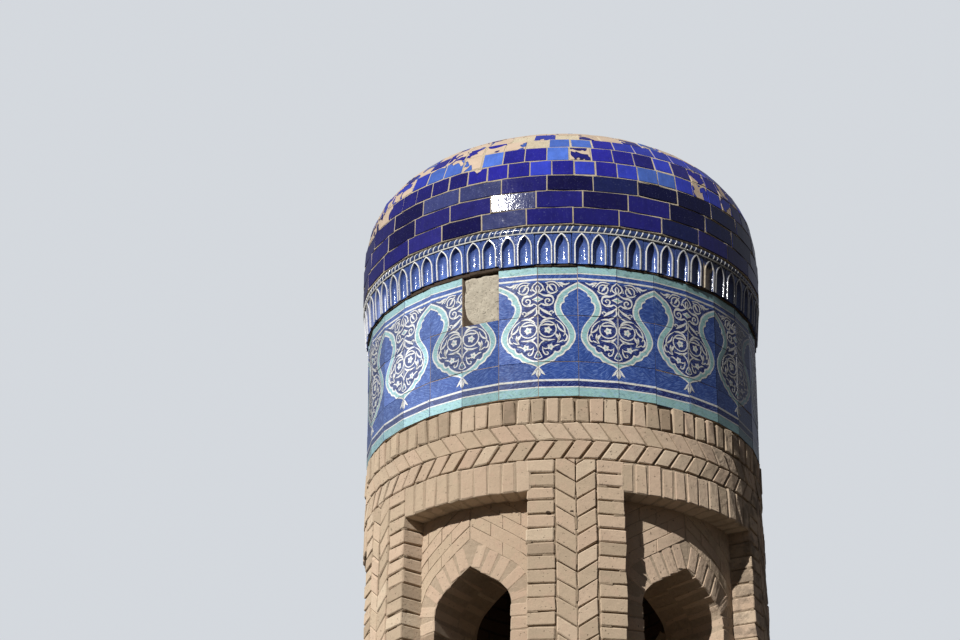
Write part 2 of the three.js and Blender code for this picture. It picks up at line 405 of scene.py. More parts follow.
def glazed_brick_finish():
    """Cobalt glaze, glassy and a little wavy, flaked off in smooth patches down to pale clay, with
    pale specks as painted glints.
    """
    finish = Finish("cobalt_glazed_brick", roughness=0.08)
    bare = finish.attribute("bare")
    matt = finish.attribute("matt")
    pools = finish.noise(22.0, 4.0, 0.6)
    grain = finish.noise(240.0, 4.0, 0.7)
    streaks = finish.noise(1.0, 3.0, 0.6, 0.0, finish.stretched((90.0, 90.0, 12.0)))
    flakes = finish.noise(11.0, 2.0, 0.5, 0.9)
    # Painted glints: pale specks that stand for sparkles of reflected light, more of them on the
    # matt bricks
    specks = finish.between(finish.noise(300.0, 1.0, 0.4), 0.70, 0.75)
    dimples = finish.noise(140.0, 1.0, 0.5)
    chipped = finish.between(bare - flakes, -0.008, 0.008)
    rim = finish.between(bare - flakes, -0.03, -0.008) * (1 - chipped)
    glass = finish.scaled(
        finish.attribute("glaze", output="Color"), pools * 0.7 + streaks * 0.5 + 0.4)
    clay = finish.over(colour(168, 146, 124), (pools, colour(198, 178, 156)))
    tone = finish.over(
        glass, (specks * (matt * 0.5 + 0.3), colour(150, 158, 190)),
        (rim * 0.6, colour(24, 20, 48)), (chipped, finish.scaled(clay, grain * 0.4 + 0.8)),
    )
    rough = chipped * 0.85 + (1 - chipped) * (pools * 0.06 + 0.04 + matt * 0.04)
    waves = pools * 0.45 + streaks * 0.12 + dimples * matt * 0.18
    finish.bump(waves + grain * chipped * 0.4 - chipped * 0.8, 0.0022)
    return finish.show(Base_Color=tone, Roughness=rough)


BRICK = brick_finish()
JOINT_MORTAR = mortar_finish("joint_mortar", (172, 152, 126), (120, 101, 81))
RECESS_MORTAR = mortar_finish("recess_mortar", (192, 172, 148), (156, 137, 114))
PALE_MORTAR = mortar_finish("pale_mortar", (202, 182, 154), (166, 146, 120))
PATCH_MORTAR = mortar_finish("patch_mortar", (206, 198, 180), (178, 167, 148), strawy=True)
# Very dark brown mortar for deep gaps, hollows and bedding: partly real mortar, partly painted
# shade of the gaps it fills
SHADE_DARK_MORTAR = mortar_finish("shade_dark_mortar", (92, 74, 56), (54, 42, 32))
DOME_MORTAR = mortar_finish("dome_mortar", (206, 194, 168), (170, 156, 132))
SHADED_INNER_BRICK = inner_brick_finish()
MAJOLICA = majolica_finish()
FRIEZE_GLAZE = frieze_finish()
GLAZED_BRICK = glazed_brick_finish()


# Ways of modelling

def deselect():
    bpy.ops.object.select_all(action="DESELECT")


def alone(piece):
    """Makes a piece the active one, and the only one selected."""
    deselect()
    piece.select_set(True)
    bpy.context.view_layer.objects.active = piece


def edit_mode():
    bpy.ops.object.mode_set(mode="EDIT")


def edit_all():
    """Starts editing the active piece, with all of it selected."""
    edit_mode()
    bpy.ops.mesh.select_all(action="SELECT")


def object_mode():
    bpy.ops.object.mode_set(mode="OBJECT")


def face_outwards():
    """In edit mode: turns every face outwards, then stops editing."""
    bpy.ops.mesh.select_all(action="SELECT")
    bpy.ops.mesh.normals_make_consistent(inside=False)
    object_mode()


def started(name):
    """Names the primitive that was just added."""
    made = bpy.context.object
    made.name = name
    made.data.name = name
    return made


def apply_place():
    bpy.ops.object.transform_apply(location=True, rotation=True, scale=True)


def apply_modifiers(piece):
    alone(piece)
    for modifier in list(piece.modifiers):
        bpy.ops.object.modifier_apply(modifier=modifier.name)


def thicken(piece, thickness, offset):
    """Gives a sheet its thickness, outwards for an offset of 1 and inwards for -1."""
    thick = piece.modifiers.new("thickness", "SOLIDIFY")
    thick.thickness = thickness
    thick.offset = offset
    apply_modifiers(piece)


def taken_apart(piece):
    """The corners and faces of a piece, which is then removed."""
    corners = np.array([tuple(point.co) for point in piece.data.vertices])
    faces = [tuple(face.vertices) for face in piece.data.polygons]
    bpy.data.objects.remove(piece)
    return corners, faces


def settle(piece, material, nodes=(), smooth=None):
    """Puts a finished piece on the tower: its place in its mesh and its finish."""
    alone(piece)
    apply_place()
    if smooth is not None:
        bpy.ops.object.shade_smooth_by_angle(angle=math.radians(smooth))
    piece.data.materials.clear()
    piece.data.materials.append(material)
    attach(piece, "root")
    if nodes:
        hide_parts(*nodes)
    return piece


# Faces that look inwards from nearer the axis than this are lined with brick darkened as painted
# shade
LINING_REACH = 0.600


def settle_core(core, nodes=(), material=JOINT_MORTAR, smooth=25):
    """Settles the mortar behind bricks or tiles, its inside lined with brick darkened as painted
    shade.
    """
    settle(core, material, nodes, smooth)
    core.data.materials.append(SHADED_INNER_BRICK)
    for face in core.data.polygons:
        from_middle = face.center.xy
        looks_in = face.normal.xy.dot(from_middle) < -0.3 * from_middle.length
        if looks_in and from_middle.length < LINING_REACH:
            face.material_index = 1


LAYER_KINDS = {1: ("FLOAT", "value"), 3: ("FLOAT_VECTOR", "vector"), 4: ("FLOAT_COLOR", "color")}


def add_layer(mesh, name, numbers):
    """Gives each point of a mesh a number, three numbers or a colour."""
    numbers = np.asarray(numbers, np.float32).ravel()
    kind, field = LAYER_KINDS[len(numbers) // len(mesh.vertices)]
    mesh.attributes.new(name, kind, "POINT").data.foreach_set(field, numbers)


def joined_mesh(name, corners, faces, layers=None):
    """One mesh object from arrays, with values for its points in named layers."""
    mesh = bpy.data.meshes.new(name)
    mesh.from_pydata(np.asarray(corners, float).tolist(), [], [list(f) for f in faces])
    for key, numbers in (layers or {}).items():
        add_layer(mesh, key, numbers)
    mesh.update()
    piece = bpy.data.objects.new(name, mesh)
    bpy.context.scene.collection.objects.link(piece)
    return piece


def turned(name, outline, steps=96):
    """A closed outline of (radius, height) points, spun round the tower's axis."""
    deselect()
    bpy.ops.mesh.primitive_circle_add(vertices=len(outline), radius=1, fill_type="NOTHING")
    shape = started(name)
    for point, (radius, height) in zip(shape.data.vertices, outline):
        point.co = (radius, 0, height)
    edit_all()
    bpy.ops.mesh.spin(steps=steps, angle=2 * pi, center=(0, 0, 0), axis=(0, 0, 1))
    bpy.ops.mesh.select_all(action="SELECT")
    bpy.ops.mesh.remove_doubles(threshold=0.00002)
    face_outwards()
    return shape


def tube(name, bottom, top, outer, inner, sides=96):
    """A round wall between two heights, its radii given as lengths or by height."""
    corners = ((outer, bottom), (outer, top), (inner, top), (inner, bottom))
    return turned(name, [
        (float(radius(height) if callable(radius) else radius), height)
        for radius, height in corners], sides)


def head_height(half, spring, haunch, slope, away, across):
    """Height of the line that runs over a pointed head at some distance from its edge."""
    slope = math.radians(slope)
    turn = pi / 2 - slope
    reach = haunch + away
    bend = half - haunch + reach * math.cos(turn)
    across = np.abs(across)
    straight = spring + reach * math.sin(turn) + (bend - across) * math.tan(slope)
    rounded = spring + np.sqrt(np.maximum(reach**2 - (across - half + haunch) ** 2, 0))
    return np.where(across < bend, straight, rounded)


def pointed_outline(half, bottom, spring, haunch, slope, grow=0.0, steps=6):
    """Points of an arched opening's outline, grown outwards by a little."""
    turn = pi / 2 - math.radians(slope)
    reach = haunch + grow
    right = [(half + grow, bottom)]
    for i in range(steps + 1):
        around = turn * i / steps
        right.append((half - haunch + reach * math.cos(around), spring + reach * math.sin(around)))
    top = (0.0, float(head_height(half, spring, haunch, slope, grow, 0)))
    return right + [top] + [(-x, z) for x, z in reversed(right)]


def cut_passages(wall, openings, near, far):
    """Drives openings (outline, degrees) outwards through a wall, from near to far."""
    for outline, degrees in openings:
        deselect()
        bpy.ops.mesh.primitive_circle_add(vertices=len(outline), radius=1, fill_type="NGON")
        cutter = started("cutter")
        for point, (x, z) in zip(cutter.data.vertices, outline):
            point.co = (x, -near, z)
        edit_all()
        bpy.ops.mesh.extrude_region_move(TRANSFORM_OT_translate={"value": (0, near - far, 0)})
        face_outwards()
        cutter.rotation_euler = (0, 0, math.radians(degrees))
        apply_place()
        cut = wall.modifiers.new("opening", "BOOLEAN")
        cut.operation = "DIFFERENCE"
        cut.solver = "EXACT"
        cut.object = cutter
        apply_modifiers(wall)
        bpy.data.objects.remove(cutter)


# Bricks: one brick with worn edges, modelled once and laid many times

def bevelled_brick(cuts):
    """Corners of one brick as shares of its size, which of them its worn edges pull in, faces."""
    deselect()
    bpy.ops.mesh.primitive_cube_add(size=1)
    brick = started("brick_pattern")
    edit_all()
    bpy.ops.mesh.bevel(offset=0.1, segments=1, affect="EDGES")
    for i in range(cuts):
        bpy.ops.mesh.select_all(action="SELECT")
        bpy.ops.mesh.bisect(plane_co=((i + 1) / (cuts + 1) - 0.5, 0, 0), plane_no=(1, 0, 0))
    object_mode()
    corners, faces = taken_apart(brick)
    at_end = np.abs(corners) > 0.35
    share = np.where(at_end, np.sign(corners) * 0.5, corners)
    inset = np.sign(corners) * (at_end & (np.abs(corners) < 0.45))
    corner = ((corners > 0) @ np.array([1, 2, 4])).astype(int)
    return share, inset, corner, faces


BRICK_PATTERNS = [bevelled_brick(cuts) for cuts in range(3)]


def lay(along, up, width, height, depth, proud=0.0, slant=0.0, lean=0.0, roll=0.0):
    """One brick of a list: its middle, its size, how far it stands out, and its skew."""
    return (along, up, width, height, depth, proud, slant, lean, roll)


def laid_bricks(
    name, bricks, wrap, seed, rough=0.0018, worn=0.004, material=BRICK, slot="brick",
    cuts=0, smooth=None, **layers,
):
    """All the bricks of a list as one mesh, each a little different, on a wrapped wall.

    The bricks' corners are knocked about by up to 1.6 times rough. The layers hold one value
    for each brick.
    """
    chance = np.random.default_rng(seed)
    share, inset, corner, shape = BRICK_PATTERNS[cuts]
    rows = np.array(bricks, float)
    count, points = len(rows), len(share)
    along, up, width, height, depth, proud, slant, lean, roll = rows.T[:, :, None]
    edge = worn * chance.uniform(0.5, 1.5, (count, 1))
    knocks = chance.normal(0, rough, (count, 8, 3)).clip(-1.6 * rough, 1.6 * rough)[:, corner]
    x = share[:, 0] * width - edge * inset[:, 0] + knocks[..., 0]
    y = share[:, 1] * depth - edge * inset[:, 1] + knocks[..., 1]
    z = share[:, 2] * height - edge * inset[:, 2] + knocks[..., 2]
    z = z + slant * x
    x = x + lean * z
    x, z = x * np.cos(roll) - z * np.sin(roll), x * np.sin(roll) + z * np.cos(roll)
    stand = proud + chance.normal(0, rough * 0.7, (count, 1)).clip(-rough, rough)
    placed = wrap(along + x, up + z, stand - (y + depth / 2))
    corners = np.stack(placed, -1).reshape(-1, 3)
    faces = [[i * points + spot for spot in face] for i in range(count) for face in shape]
    layers = {"tint": chance.uniform(0.14, 1, count), **layers}
    spread = {key: np.repeat(np.asarray(numbers), points, 0) for key, numbers in layers.items()}
    return settle(joined_mesh(name, corners, faces, spread), material, smooth=smooth)


def round_wall(reference):
    """Wraps lengths along and up a round wall, a turn being 2 pi times the reference."""
    return lambda along, up, out: (*from_axis(along / reference, wall_radius(up) + out), up)


def bay_wall(degrees, face):
    """Wraps lengths across and up a bay, whose passage runs straight out at an angle."""

    def wrap(along, up, out):
        reach = np.sqrt(np.maximum(face(up) ** 2 - along**2, 0.01)) + out
        return (*from_axis(math.radians(degrees), reach, along), up)

    return wrap


def each_flat(radius, base=0.0):
    """Wraps pieces laid by angle, each of them flat and square to its own middle."""

    def wrap(along, up, out):
        turn = along.mean(axis=1, keepdims=True)
        return (*from_axis(turn, radius + out, along - turn), base + up)

    return wrap


# Mortar behind the bricks

def nodes_called(*starts):
    return [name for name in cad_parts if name.startswith(starts)]


def shaft_core():
    core = tube(
        "shaft_mortar", PLINTH_TOP, SHAFT_TOP,
        lambda z: wall_radius(z) - 0.014, lambda z: wall_radius(z) - SHAFT_WALL)
    outline = pointed_outline(DOOR_HALF, 0.0, DOOR_SPRING, DOOR_HAUNCH, DOOR_SLOPE, 0.008)
    cut_passages(core, [(outline, DOOR_ANGLE)], 0.2, 1.5)
    settle_core(core, nodes_called("shaft_", "doorway_"))


def belt_core():
    core = tube("belt_mortar", SHAFT_TOP, LANTERN_FLOOR, joint_radius, LANTERN_INNER)
    settle_core(core, ("belt_soldier_course", "belt_herringbone_band", "sill_course"))
    ledge = tube(
        "floor_ledge", BELT_SOLDIER_TOP, BELT_HERRINGBONE_TOP, LANTERN_INNER + 0.01,
        FLOOR_LEDGE, 48)
    settle(ledge, SHADED_INNER_BRICK, smooth=25)


def lantern_core():
    wall = tube(
        "lantern_wall", LANTERN_FLOOR, RECESS_TOP, lambda z: recess_radius(z) - 0.003,
        LANTERN_INNER)
    bottom = WINDOW_SILL - 0.008
    cut_passages(wall, [
        (pointed_outline(half, bottom, WINDOW_SPRING, WINDOW_HAUNCH, slope, 0.0025), middle)
        for middle, _, half, slope in BAYS], 0.1, 1.5)
    settle_core(wall, nodes_called("pier_", "window_arch_"), RECESS_MORTAR)
    for i, degrees in enumerate(PIER_ANGLES):
        pier_core(f"pier_mortar_{i + 1}", math.radians(degrees))


def pier_core(name, middle):
    """A pier's mortar: an upright block with a curved face."""
    half = math.radians(PIER_HALF_ANGLE) - 0.009
    deselect()
    bpy.ops.mesh.primitive_grid_add(x_subdivisions=8, y_subdivisions=2, size=2)
    block = started(name)
    for point in block.data.vertices:
        share = (round(point.co.y) + 1) / 2
        up = LANTERN_FLOOR + (LINTEL_TOP - LANTERN_FLOOR) * share
        point.co = (*from_axis(middle + point.co.x * half, joint_radius(up)), up)
    thicken(block, 0.11, -1)
    edit_mode()
    face_outwards()
    settle(block, JOINT_MORTAR, smooth=25)


def bands_core():
    core = tube("bands_mortar", RECESS_TOP + 0.010, BAND_BOTTOM, joint_radius, LANTERN_INNER)
    settle_core(core, ("lintel_course", "herringbone_band", "soldier_course"))
    drum = tube("band_mortar", BAND_BOTTOM, BAND_TOP, BAND_RADIUS - 0.024, LANTERN_INNER)
    settle_core(drum, ("band_drum",), PALE_MORTAR)


# Brickwork, course by course

def plinth():
    core = tube("plinth_mortar", 0.0, PLINTH_TOP - 0.004, PLINTH_RADIUS - 0.012, 0.02)
    settle(core, JOINT_MORTAR, ("plinth",), smooth=25)
    courses = 3
    height = PLINTH_TOP / courses
    round_count = 56
    bricks = []
    for course in range(courses):
        for i in range(round_count):
            along = 2 * pi * PLINTH_RADIUS * (i + 0.5 * (course % 2)) / round_count
            width = 2 * pi * PLINTH_RADIUS / round_count - 0.009
            bricks.append(lay(along, height * (course + 0.5), width, height - 0.006, 0.20, -0.002))

    def wrap(along, up, out):
        return (*from_axis(along / PLINTH_RADIUS, PLINTH_RADIUS + out), up)

    laid_bricks("plinth_bricks", bricks, wrap, 3)


def paving(name, top, radius, seed):
    """Floor bricks laid flat inside a round room."""
    bricks = []
    length, width = 0.258, 0.13
    rows = int(radius / width) + 1
    for row in range(-rows, rows + 1):
        for step in range(-4, 5):
            x, y = step * length + length / 2 * (row % 2), row * width
            if math.hypot(abs(x) + 0.06, abs(y) + 0.03) < radius:
                bricks.append(lay(x, y, length - 0.008, width - 0.008, 0.03))
    laid_bricks(name, bricks, lambda along, up, out: (along, up, top + out), seed)


# Radius at which the shaft's bricks have their true length
SHAFT_REFERENCE = 0.97


def shaft_bricks():
    """Running bond up the shaft, broken off at the doorway's jambs and arch."""
    round_count = 24
    turn = 2 * pi * SHAFT_REFERENCE
    courses = round((SHAFT_TOP - PLINTH_TOP) / COURSE)
    slope = math.tan(math.radians(DOOR_SLOPE))
    head = (DOOR_HALF, DOOR_SPRING, DOOR_HAUNCH, DOOR_SLOPE)
    crown = float(head_height(*head, 0, 0))
    bricks, jambs = [], []
    for course in range(courses):
        up = PLINTH_TOP + COURSE * (course + 0.5)
        start = 0.0
        if up < DOOR_SPRING:
            first = STRETCHER if course % 2 else STRETCHER / 2
            for side in (-1, 1):
                jambs.append(lay(
                    side * (DOOR_HALF + first / 2), up, first - 0.008, BRICK_HEIGHT, 0.22))
                jambs.append(lay(
                    side * (DOOR_HALF + STRETCHER / 4), up, 0.12, BRICK_HEIGHT, 0.23, -0.228))
            start = DOOR_HALF + first
        elif up < crown + 0.2:
            start = max(0.0, min(DOOR_HALF + 0.12, (crown + 0.22 - up) / slope))
        start = SHAFT_REFERENCE * math.asin(start / float(wall_radius(up)))
        if start > 0:
            room = turn - 2 * start
            count = round(room * round_count / turn)
            step = room / count
            shift = start - turn / 2
        else:
            count, step = round_count, turn / round_count
            shift = 0.5 * step * (course % 2)
        for i in range(count):
            bricks.append(lay(
                shift + step * (i + 0.5), up, step - 0.010, BRICK_HEIGHT, 0.11, -0.001))
    laid_bricks("shaft_bricks", bricks, round_wall(SHAFT_REFERENCE), 5, cuts=1)
    arch = []
    for proud in (0.012, -0.222):
        arch += voussoirs(*head, 0.235, BRICK_HEIGHT, 0.22, proud)
    laid_bricks("doorway_bricks", jambs + arch, bay_wall(DOOR_ANGLE, wall_radius), 6)


def voussoirs(half, spring, haunch, slope, length, width, depth, proud):
    """Arch bricks fanned over a pointed head, with wedges of mortar between them."""
    slope = math.radians(slope)
    joint = 0.0095
    turn = pi / 2 - slope
    arc = haunch * turn
    total = arc + (half - haunch * (1 - math.cos(turn))) / math.cos(slope)
    count = round(total / (width + joint))
    bricks = []
    for i in range(count):
        run = total * (i + 0.5) / count
        square = min(run / haunch, turn)
        past = max(run - arc, 0)
        tip = math.radians(3 + 12 * (i / (count - 1)) ** 2)
        fan = square + tip
        reach = length / 2 + width / 2 * math.sin(tip)
        x = half - haunch + haunch * math.cos(square) - past * math.cos(slope)
        z = spring + haunch * math.sin(square) + past * math.sin(slope)
        x, z = x + math.cos(fan) * reach, z + math.sin(fan) * reach
        for side in (-1, 1):
            bricks.append(lay(
                side * x, z, width, length, depth, proud, roll=side * (fan - pi / 2)))
    return bricks


# Runs of brown stained bricks in the course under the tiles, in degrees
STAINED = ((-54, -35), (-19, -15), (22, 27), (43, 48), (110, 118), (170, 186), (230, 236))


def from_front(degrees):
    """An angle from -180 to 180, the front being 0."""
    return (degrees + 180) % 360 - 180


def flush_joints(name, joints, reference, seed, material):
    """Mortar that fills the joints of a course almost to the bricks' faces."""
    laid_bricks(
        name, joints, round_wall(reference), seed, rough=0.0008, worn=0.001, material=material)


def soldier_course(name, bottom, top, seed, skip=None, flush=False, ragged=1.0):
    """Bricks on end round the tower, rough along their tops; flush joints are filled."""
    middle = (bottom + top) / 2
    reference = float(wall_radius(middle))
    chance = np.random.default_rng(seed)
    step = 2 * pi * reference / SOLDIERS_ROUND
    bricks, joints, tints = [], [], []
    for i in range(SOLDIERS_ROUND):
        degrees = 360 * (i + 0.5) / SOLDIERS_ROUND
        if skip and skip(degrees):
            continue
        along = step * (i + 0.5)
        height = top - bottom - 0.006 - chance.uniform(0, 0.006) * ragged
        width = step * (0.94 - 0.04 * ragged + chance.uniform(-0.03, 0.03) * ragged)
        brown = ragged > 1 and any(low < from_front(degrees) < high for low, high in STAINED)
        tints.append(chance.uniform(0, 0.3) if brown else chance.uniform(0.2, 1))
        bricks.append(lay(
            along, bottom + 0.003 + height / 2, width, height, 0.118, 0.001,
            lean=chance.normal(0, 0.014) * ragged))
        joints.append(lay(along, middle, step * 1.02, top - bottom - 0.008, 0.115, -0.0038))
    laid_bricks(
        name, bricks, round_wall(reference), seed, rough=0.0014 + 0.0006 * ragged, worn=0.0045,
        tint=tints)
    if flush:
        flush_joints(f"{name}_joints", joints, reference, seed, RECESS_MORTAR)


def herringbone_band(name, bottom, top, seed):
    """Two courses of slanted bricks that meet in arrowheads pointing to the right."""
    middle = (bottom + top) / 2
    reference = float(wall_radius(middle))
    step = 2 * pi * reference / HERRINGBONES_ROUND
    height = (top - bottom) / 2
    high, low = middle + height / 2, middle - height / 2
    bricks, joints = [], []
    for i in range(HERRINGBONES_ROUND):
        along = step * (i + 0.5) - 0.35 * height
        joints.append(lay(along, high, step * 1.02, height - 0.004, 0.1, -0.0050, lean=-0.7))
        bricks.append(lay(along, high, step - 0.008, height - 0.006, 0.11, lean=-0.7))
        bricks.append(lay(along, low, step - 0.013, height - 0.005, 0.11, lean=0.7))
    tints = np.random.default_rng(seed).uniform(0.45, 1, len(bricks))
    laid_bricks(
        name, bricks, round_wall(reference), seed, rough=0.0016, worn=0.0035, tint=tints)
    flush_joints(f"{name}_joints", joints, reference, seed, JOINT_MORTAR)


def in_a_pier(degrees):
    reach = PIER_HALF_ANGLE - 0.6
    return any(abs(from_front(degrees - pier)) < reach for pier in PIER_ANGLES)


# Two pock marks on the front pier, painted as dark plates that stand for the shade in their
# hollows: their height, and how far each is to the right
POCK_HEIGHT = 6.54
POCKS = (-0.123, -0.019)


def pier_bricks():
    """Each pier: stretchers up both edges, a strip of chevrons up the middle."""
    true_height = 5.9
    reference = float(wall_radius(true_height))
    half = math.radians(PIER_HALF_ANGLE) * reference
    edge = 0.120
    courses = 26
    course = (LINTEL_TOP - LANTERN_FLOOR) / courses
    chevrons = 20
    rise = (LINTEL_TOP - LANTERN_FLOOR) / chevrons
    chevron = half - edge - 0.006
    chance = np.random.default_rng(21)
    lumps = []
    for number, degrees in enumerate(PIER_ANGLES):
        middle = math.radians(degrees) * reference
        bricks = []
        for i in range(courses):
            up = LANTERN_FLOOR + course * (i + 0.5)
            for side in (-1, 1):
                along = middle + side * (half - edge / 2) + chance.normal(0, 0.0015)
                bricks.append(lay(along, up, edge, course - 0.0070, 0.112))
                if 0 < i and chance.uniform() < 0.55:
                    width = edge * chance.uniform(0.15, 0.5)
                    end = along + chance.choice((-1, 1)) * (edge - width) / 2
                    lumps.append(lay(end, up - course / 2, width, 0.012, 0.02, -0.003))
        for i in range(-1, chevrons + 1):
            up = LANTERN_FLOOR + rise * (i + 0.5)
            if 0 < i < chevrons - 1 and i % 5 != 3:
                lumps.append(lay(middle, up, 0.010, rise * 0.9, 0.02, -0.0014))
            for side in (-1, 1):
                bricks.append(lay(
                    middle + side * chevron / 2, up, chevron - 0.004, rise - 0.0055, 0.06,
                    slant=side * 0.63))
        piece = laid_bricks(
            f"pier_bricks_{number + 1}", bricks, round_wall(reference), 30 + number)
        for height, way in ((LANTERN_FLOOR + 0.002, -1), (LINTEL_TOP - 0.003, 1)):
            trim(piece, (0, 0, height), (0, 0, way))
    # Painted shade: each pock mark is a dark mortar plate on the face, not a hollow
    pock_shade_plates = [lay(along, POCK_HEIGHT, 0.018, 0.011, 0.02, 0.0015) for along in POCKS]
    laid_bricks(
        "pier_pock_shade", pock_shade_plates, round_wall(reference), 28, rough=0.001, worn=0.002,
        material=SHADE_DARK_MORTAR)
    laid_bricks(
        "pier_mortar_lumps", lumps, round_wall(reference), 29, rough=0.0015, worn=0.003,
        material=JOINT_MORTAR)


def trim(piece, place, outwards):
    """Cuts off what lies outside a plane and closes the cut."""
    alone(piece)
    edit_all()
    bpy.ops.mesh.bisect(plane_co=place, plane_no=outwards, use_fill=True, clear_outer=True)
    object_mode()


def bay_wall_bricks(number, middle, half_angle, half, slope):
    """The recessed wall of a bay: jambs, arch, slanting bricks over it, and the sill."""
    head = (half, WINDOW_SPRING, WINDOW_HAUNCH, slope)
    ring = half * 0.25 + 0.055
    courses = 17
    course = (WINDOW_SPRING - LANTERN_FLOOR) / courses
    wall = 0.350
    side_reach = float(recess_radius(6.0)) * math.sin(math.radians(half_angle)) + 0.012
    width = side_reach - half
    chance = np.random.default_rng(60 + number)
    faces, passage, rows = [], [], []
    for i in range(courses):
        up = LANTERN_FLOOR + course * (i + 0.5)
        front = 0.12 if i % 2 else 0.245
        for side in (-1, 1):
            along = side * (half + width / 2)
            faces.append(lay(
                along, up, width, course - 0.006, front, 0.001, roll=chance.normal(0, 0.006)))
            passage.append(lay(along, up, width, course - 0.002, wall - front, -front - 0.001))
    sills = round(half / COURSE)
    step = 2 * half / sills
    for row in range(2):
        up = LANTERN_FLOOR + COURSE * (row + 0.5)
        for i in range(sills):
            along = (i - sills / 2 + 0.5) * step
            faces.append(lay(along, up, step - 0.006, 0.056, 0.19, 0.001))
            passage.append(lay(along, up, step - 0.003, 0.058, 0.152, -0.192))
    tints = chance.uniform(0, 1, len(faces))
    arch = voussoirs(*head, ring, 0.0475, 0.19, -0.0004)
    tints = np.concatenate([tints, chance.uniform(0.62, 0.86, len(arch))])
    passage += voussoirs(*head, ring, 0.055, 0.135, -0.192)
    wrap = bay_wall(middle, recess_radius)
    laid_bricks(
        f"bay_face_{number + 1}", faces + arch, wrap, 70 + number, rough=0.001, worn=0.003,
        cuts=2, tint=tints)
    inner = laid_bricks(
        f"bay_passage_{number + 1}", passage, wrap, 80 + number, rough=0.0006, worn=0.0012)
    if number == 0:
        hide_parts(*nodes_called("window_sill_"))

    row_height = 0.051
    for row in range(6):
        breaks = (0.003, 0.10, 0.235, 0.42) if row % 2 else (0.003, 0.155, 0.38)
        away = ring + 0.003 + row_height * (row + 0.5)
        for near, far in zip(breaks, breaks[1:]):
            far = min(far, side_reach)
            lowest = float(head_height(*head, away - row_height / 2, far))
            if far - near < 0.03 or lowest > RECESS_TOP + 0.01:
                continue
            for side in (-1, 1):
                rows.append(lay(
                    side * (near + far) / 2, away, far - near - 0.0022, row_height - 0.0024, 0.06,
                    0.0005 + chance.normal(0, 0.0008)))

    def over_the_arch(along, away, out):
        return wrap(along, head_height(*head, away, along), out)

    laid_bricks(
        f"bay_rows_{number + 1}", rows, over_the_arch, 76 + number, rough=0.0008, worn=0.0014,
        cuts=2, tint=chance.uniform(0.45, 0.75, len(rows)))


# Painted tiles: one tile's pattern is drawn flat, its mirror image beside it makes the whole

TILE_WIDTH = 0.1767
TILE_FACE = 0.8968
TILE_ROWS = ((0.0, 0.165), (0.165, 0.386), (0.386, 0.625))


def smooth_line(points, steps=3):
    """A soft line through points, by Catmull and Rom's rule, with extra points between."""
    points = np.asarray(points, float)
    before = np.vstack([2 * points[0] - points[1], points, 2 * points[-1] - points[-2]])
    line = []
    for i in range(len(points) - 1):
        a, b, c, d = before[i : i + 4]
        for t in np.arange(steps) / steps:
            line.append(0.5 * (
                2 * b + (c - a) * t + (2 * a - 5 * b + 4 * c - d) * t**2
                + (3 * b - a - 3 * c + d) * t**3))
    line.append(points[-1])
    return np.array(line)


class Drawing:
    """Flat painted shapes in millimetres, each on its own layer of glaze."""

    def __init__(self):
        self.points = []
        self.faces = []
        self.tones = []

    def add(self, points, faces, tone, layer):
        """Adds flat faces, all wound to look outwards."""
        first = len(self.points)
        self.points += [(x, y, layer) for x, y in points]
        for face in faces:
            ends = [points[corner] for corner in face]
            area = sum(a[0] * b[1] - a[1] * b[0] for a, b in zip(ends, ends[1:] + ends[:1]))
            self.faces.append([first + corner for corner in (face if area > 0 else face[::-1])])
        self.tones += [tone] * len(points)

    def area(self, points, tone, layer):
        self.add(points, [list(range(len(points)))], tone, layer)

    def strip(self, left, right, tone, layer):
        """Fills the space between two lines with the same number of points."""
        count = len(left)
        faces = [[i, i + 1, count + i + 1, count + i] for i in range(count - 1)]
        self.add(list(map(tuple, left)) + list(map(tuple, right)), faces, tone, layer)

    def stroke(self, points, widths, tone=CREAM, layer=3, steps=3):
        """A brush stroke along a soft line, its width changing from point to point."""
        if np.isscalar(widths):
            widths = [widths] * len(points)
        line = smooth_line([(*p, w) for p, w in zip(points, widths)], steps)
        way = np.gradient(line[:, :2], axis=0)
        way /= np.maximum(np.hypot(*way.T)[:, None], 1e-9)
        side = np.stack([-way[:, 1], way[:, 0]], 1) * np.maximum(line[:, 2:3], 0.5) / 2
        self.strip(line[:, :2] + side, line[:, :2] - side, tone, layer)

    def disc(self, centre, radius, tone=CREAM, layer=3, petals=0):
        """A dot, or a rosette with petals."""
        count = petals * 4 if petals else 10
        outline = []
        for i in range(count):
            turn = 2 * pi * i / count
            reach = radius * (1 + 0.22 * math.cos(turn * petals)) if petals else radius
            out = (centre[0] + reach * math.cos(turn), centre[1] + reach * math.sin(turn))
            outline.append(out)
        self.area(outline, tone, layer)

    def circle(self, centre, radius, width, tone=CREAM, layer=3, start=0, end=360):
        turns = np.radians(np.linspace(start, end, 22))
        self.stroke([(centre[0] + radius * math.cos(t), centre[1] + radius * math.sin(t))
                     for t in turns], width, tone, layer, 1)


# The ogee ribbon round a medallion: its edge towards the lobe and its edge towards the medallion
RIBBON_OUTER = (
    (0, 134), (16, 146), (35, 155), (56, 163), (72, 170), (83, 184), (98, 191), (112, 199),
    (122, 214), (136, 222), (146, 238), (156, 252), (163, 268), (166, 288), (162, 312),
    (153, 335), (139, 357), (124, 377), (112, 397), (105, 414), (103, 431), (108, 444),
    (119, 452), (117, 463), (122, 475), (134, 482), (133, 491), (145, 501), (161, 510), (178, 519),
)
RIBBON_INNER = (
    (0, 171), (15, 173), (33, 180), (52, 192), (66, 204), (73, 217), (86, 214), (98, 224),
    (101, 238), (113, 242), (126, 256), (134, 278), (133, 302), (126, 325), (113, 345),
    (102, 359), (90, 375), (79, 392), (73, 411), (72, 432), (76, 452), (84, 470), (87, 482),
    (97, 496), (108, 508), (120, 517), (134, 526), (148, 534), (163, 542), (178, 549),
)


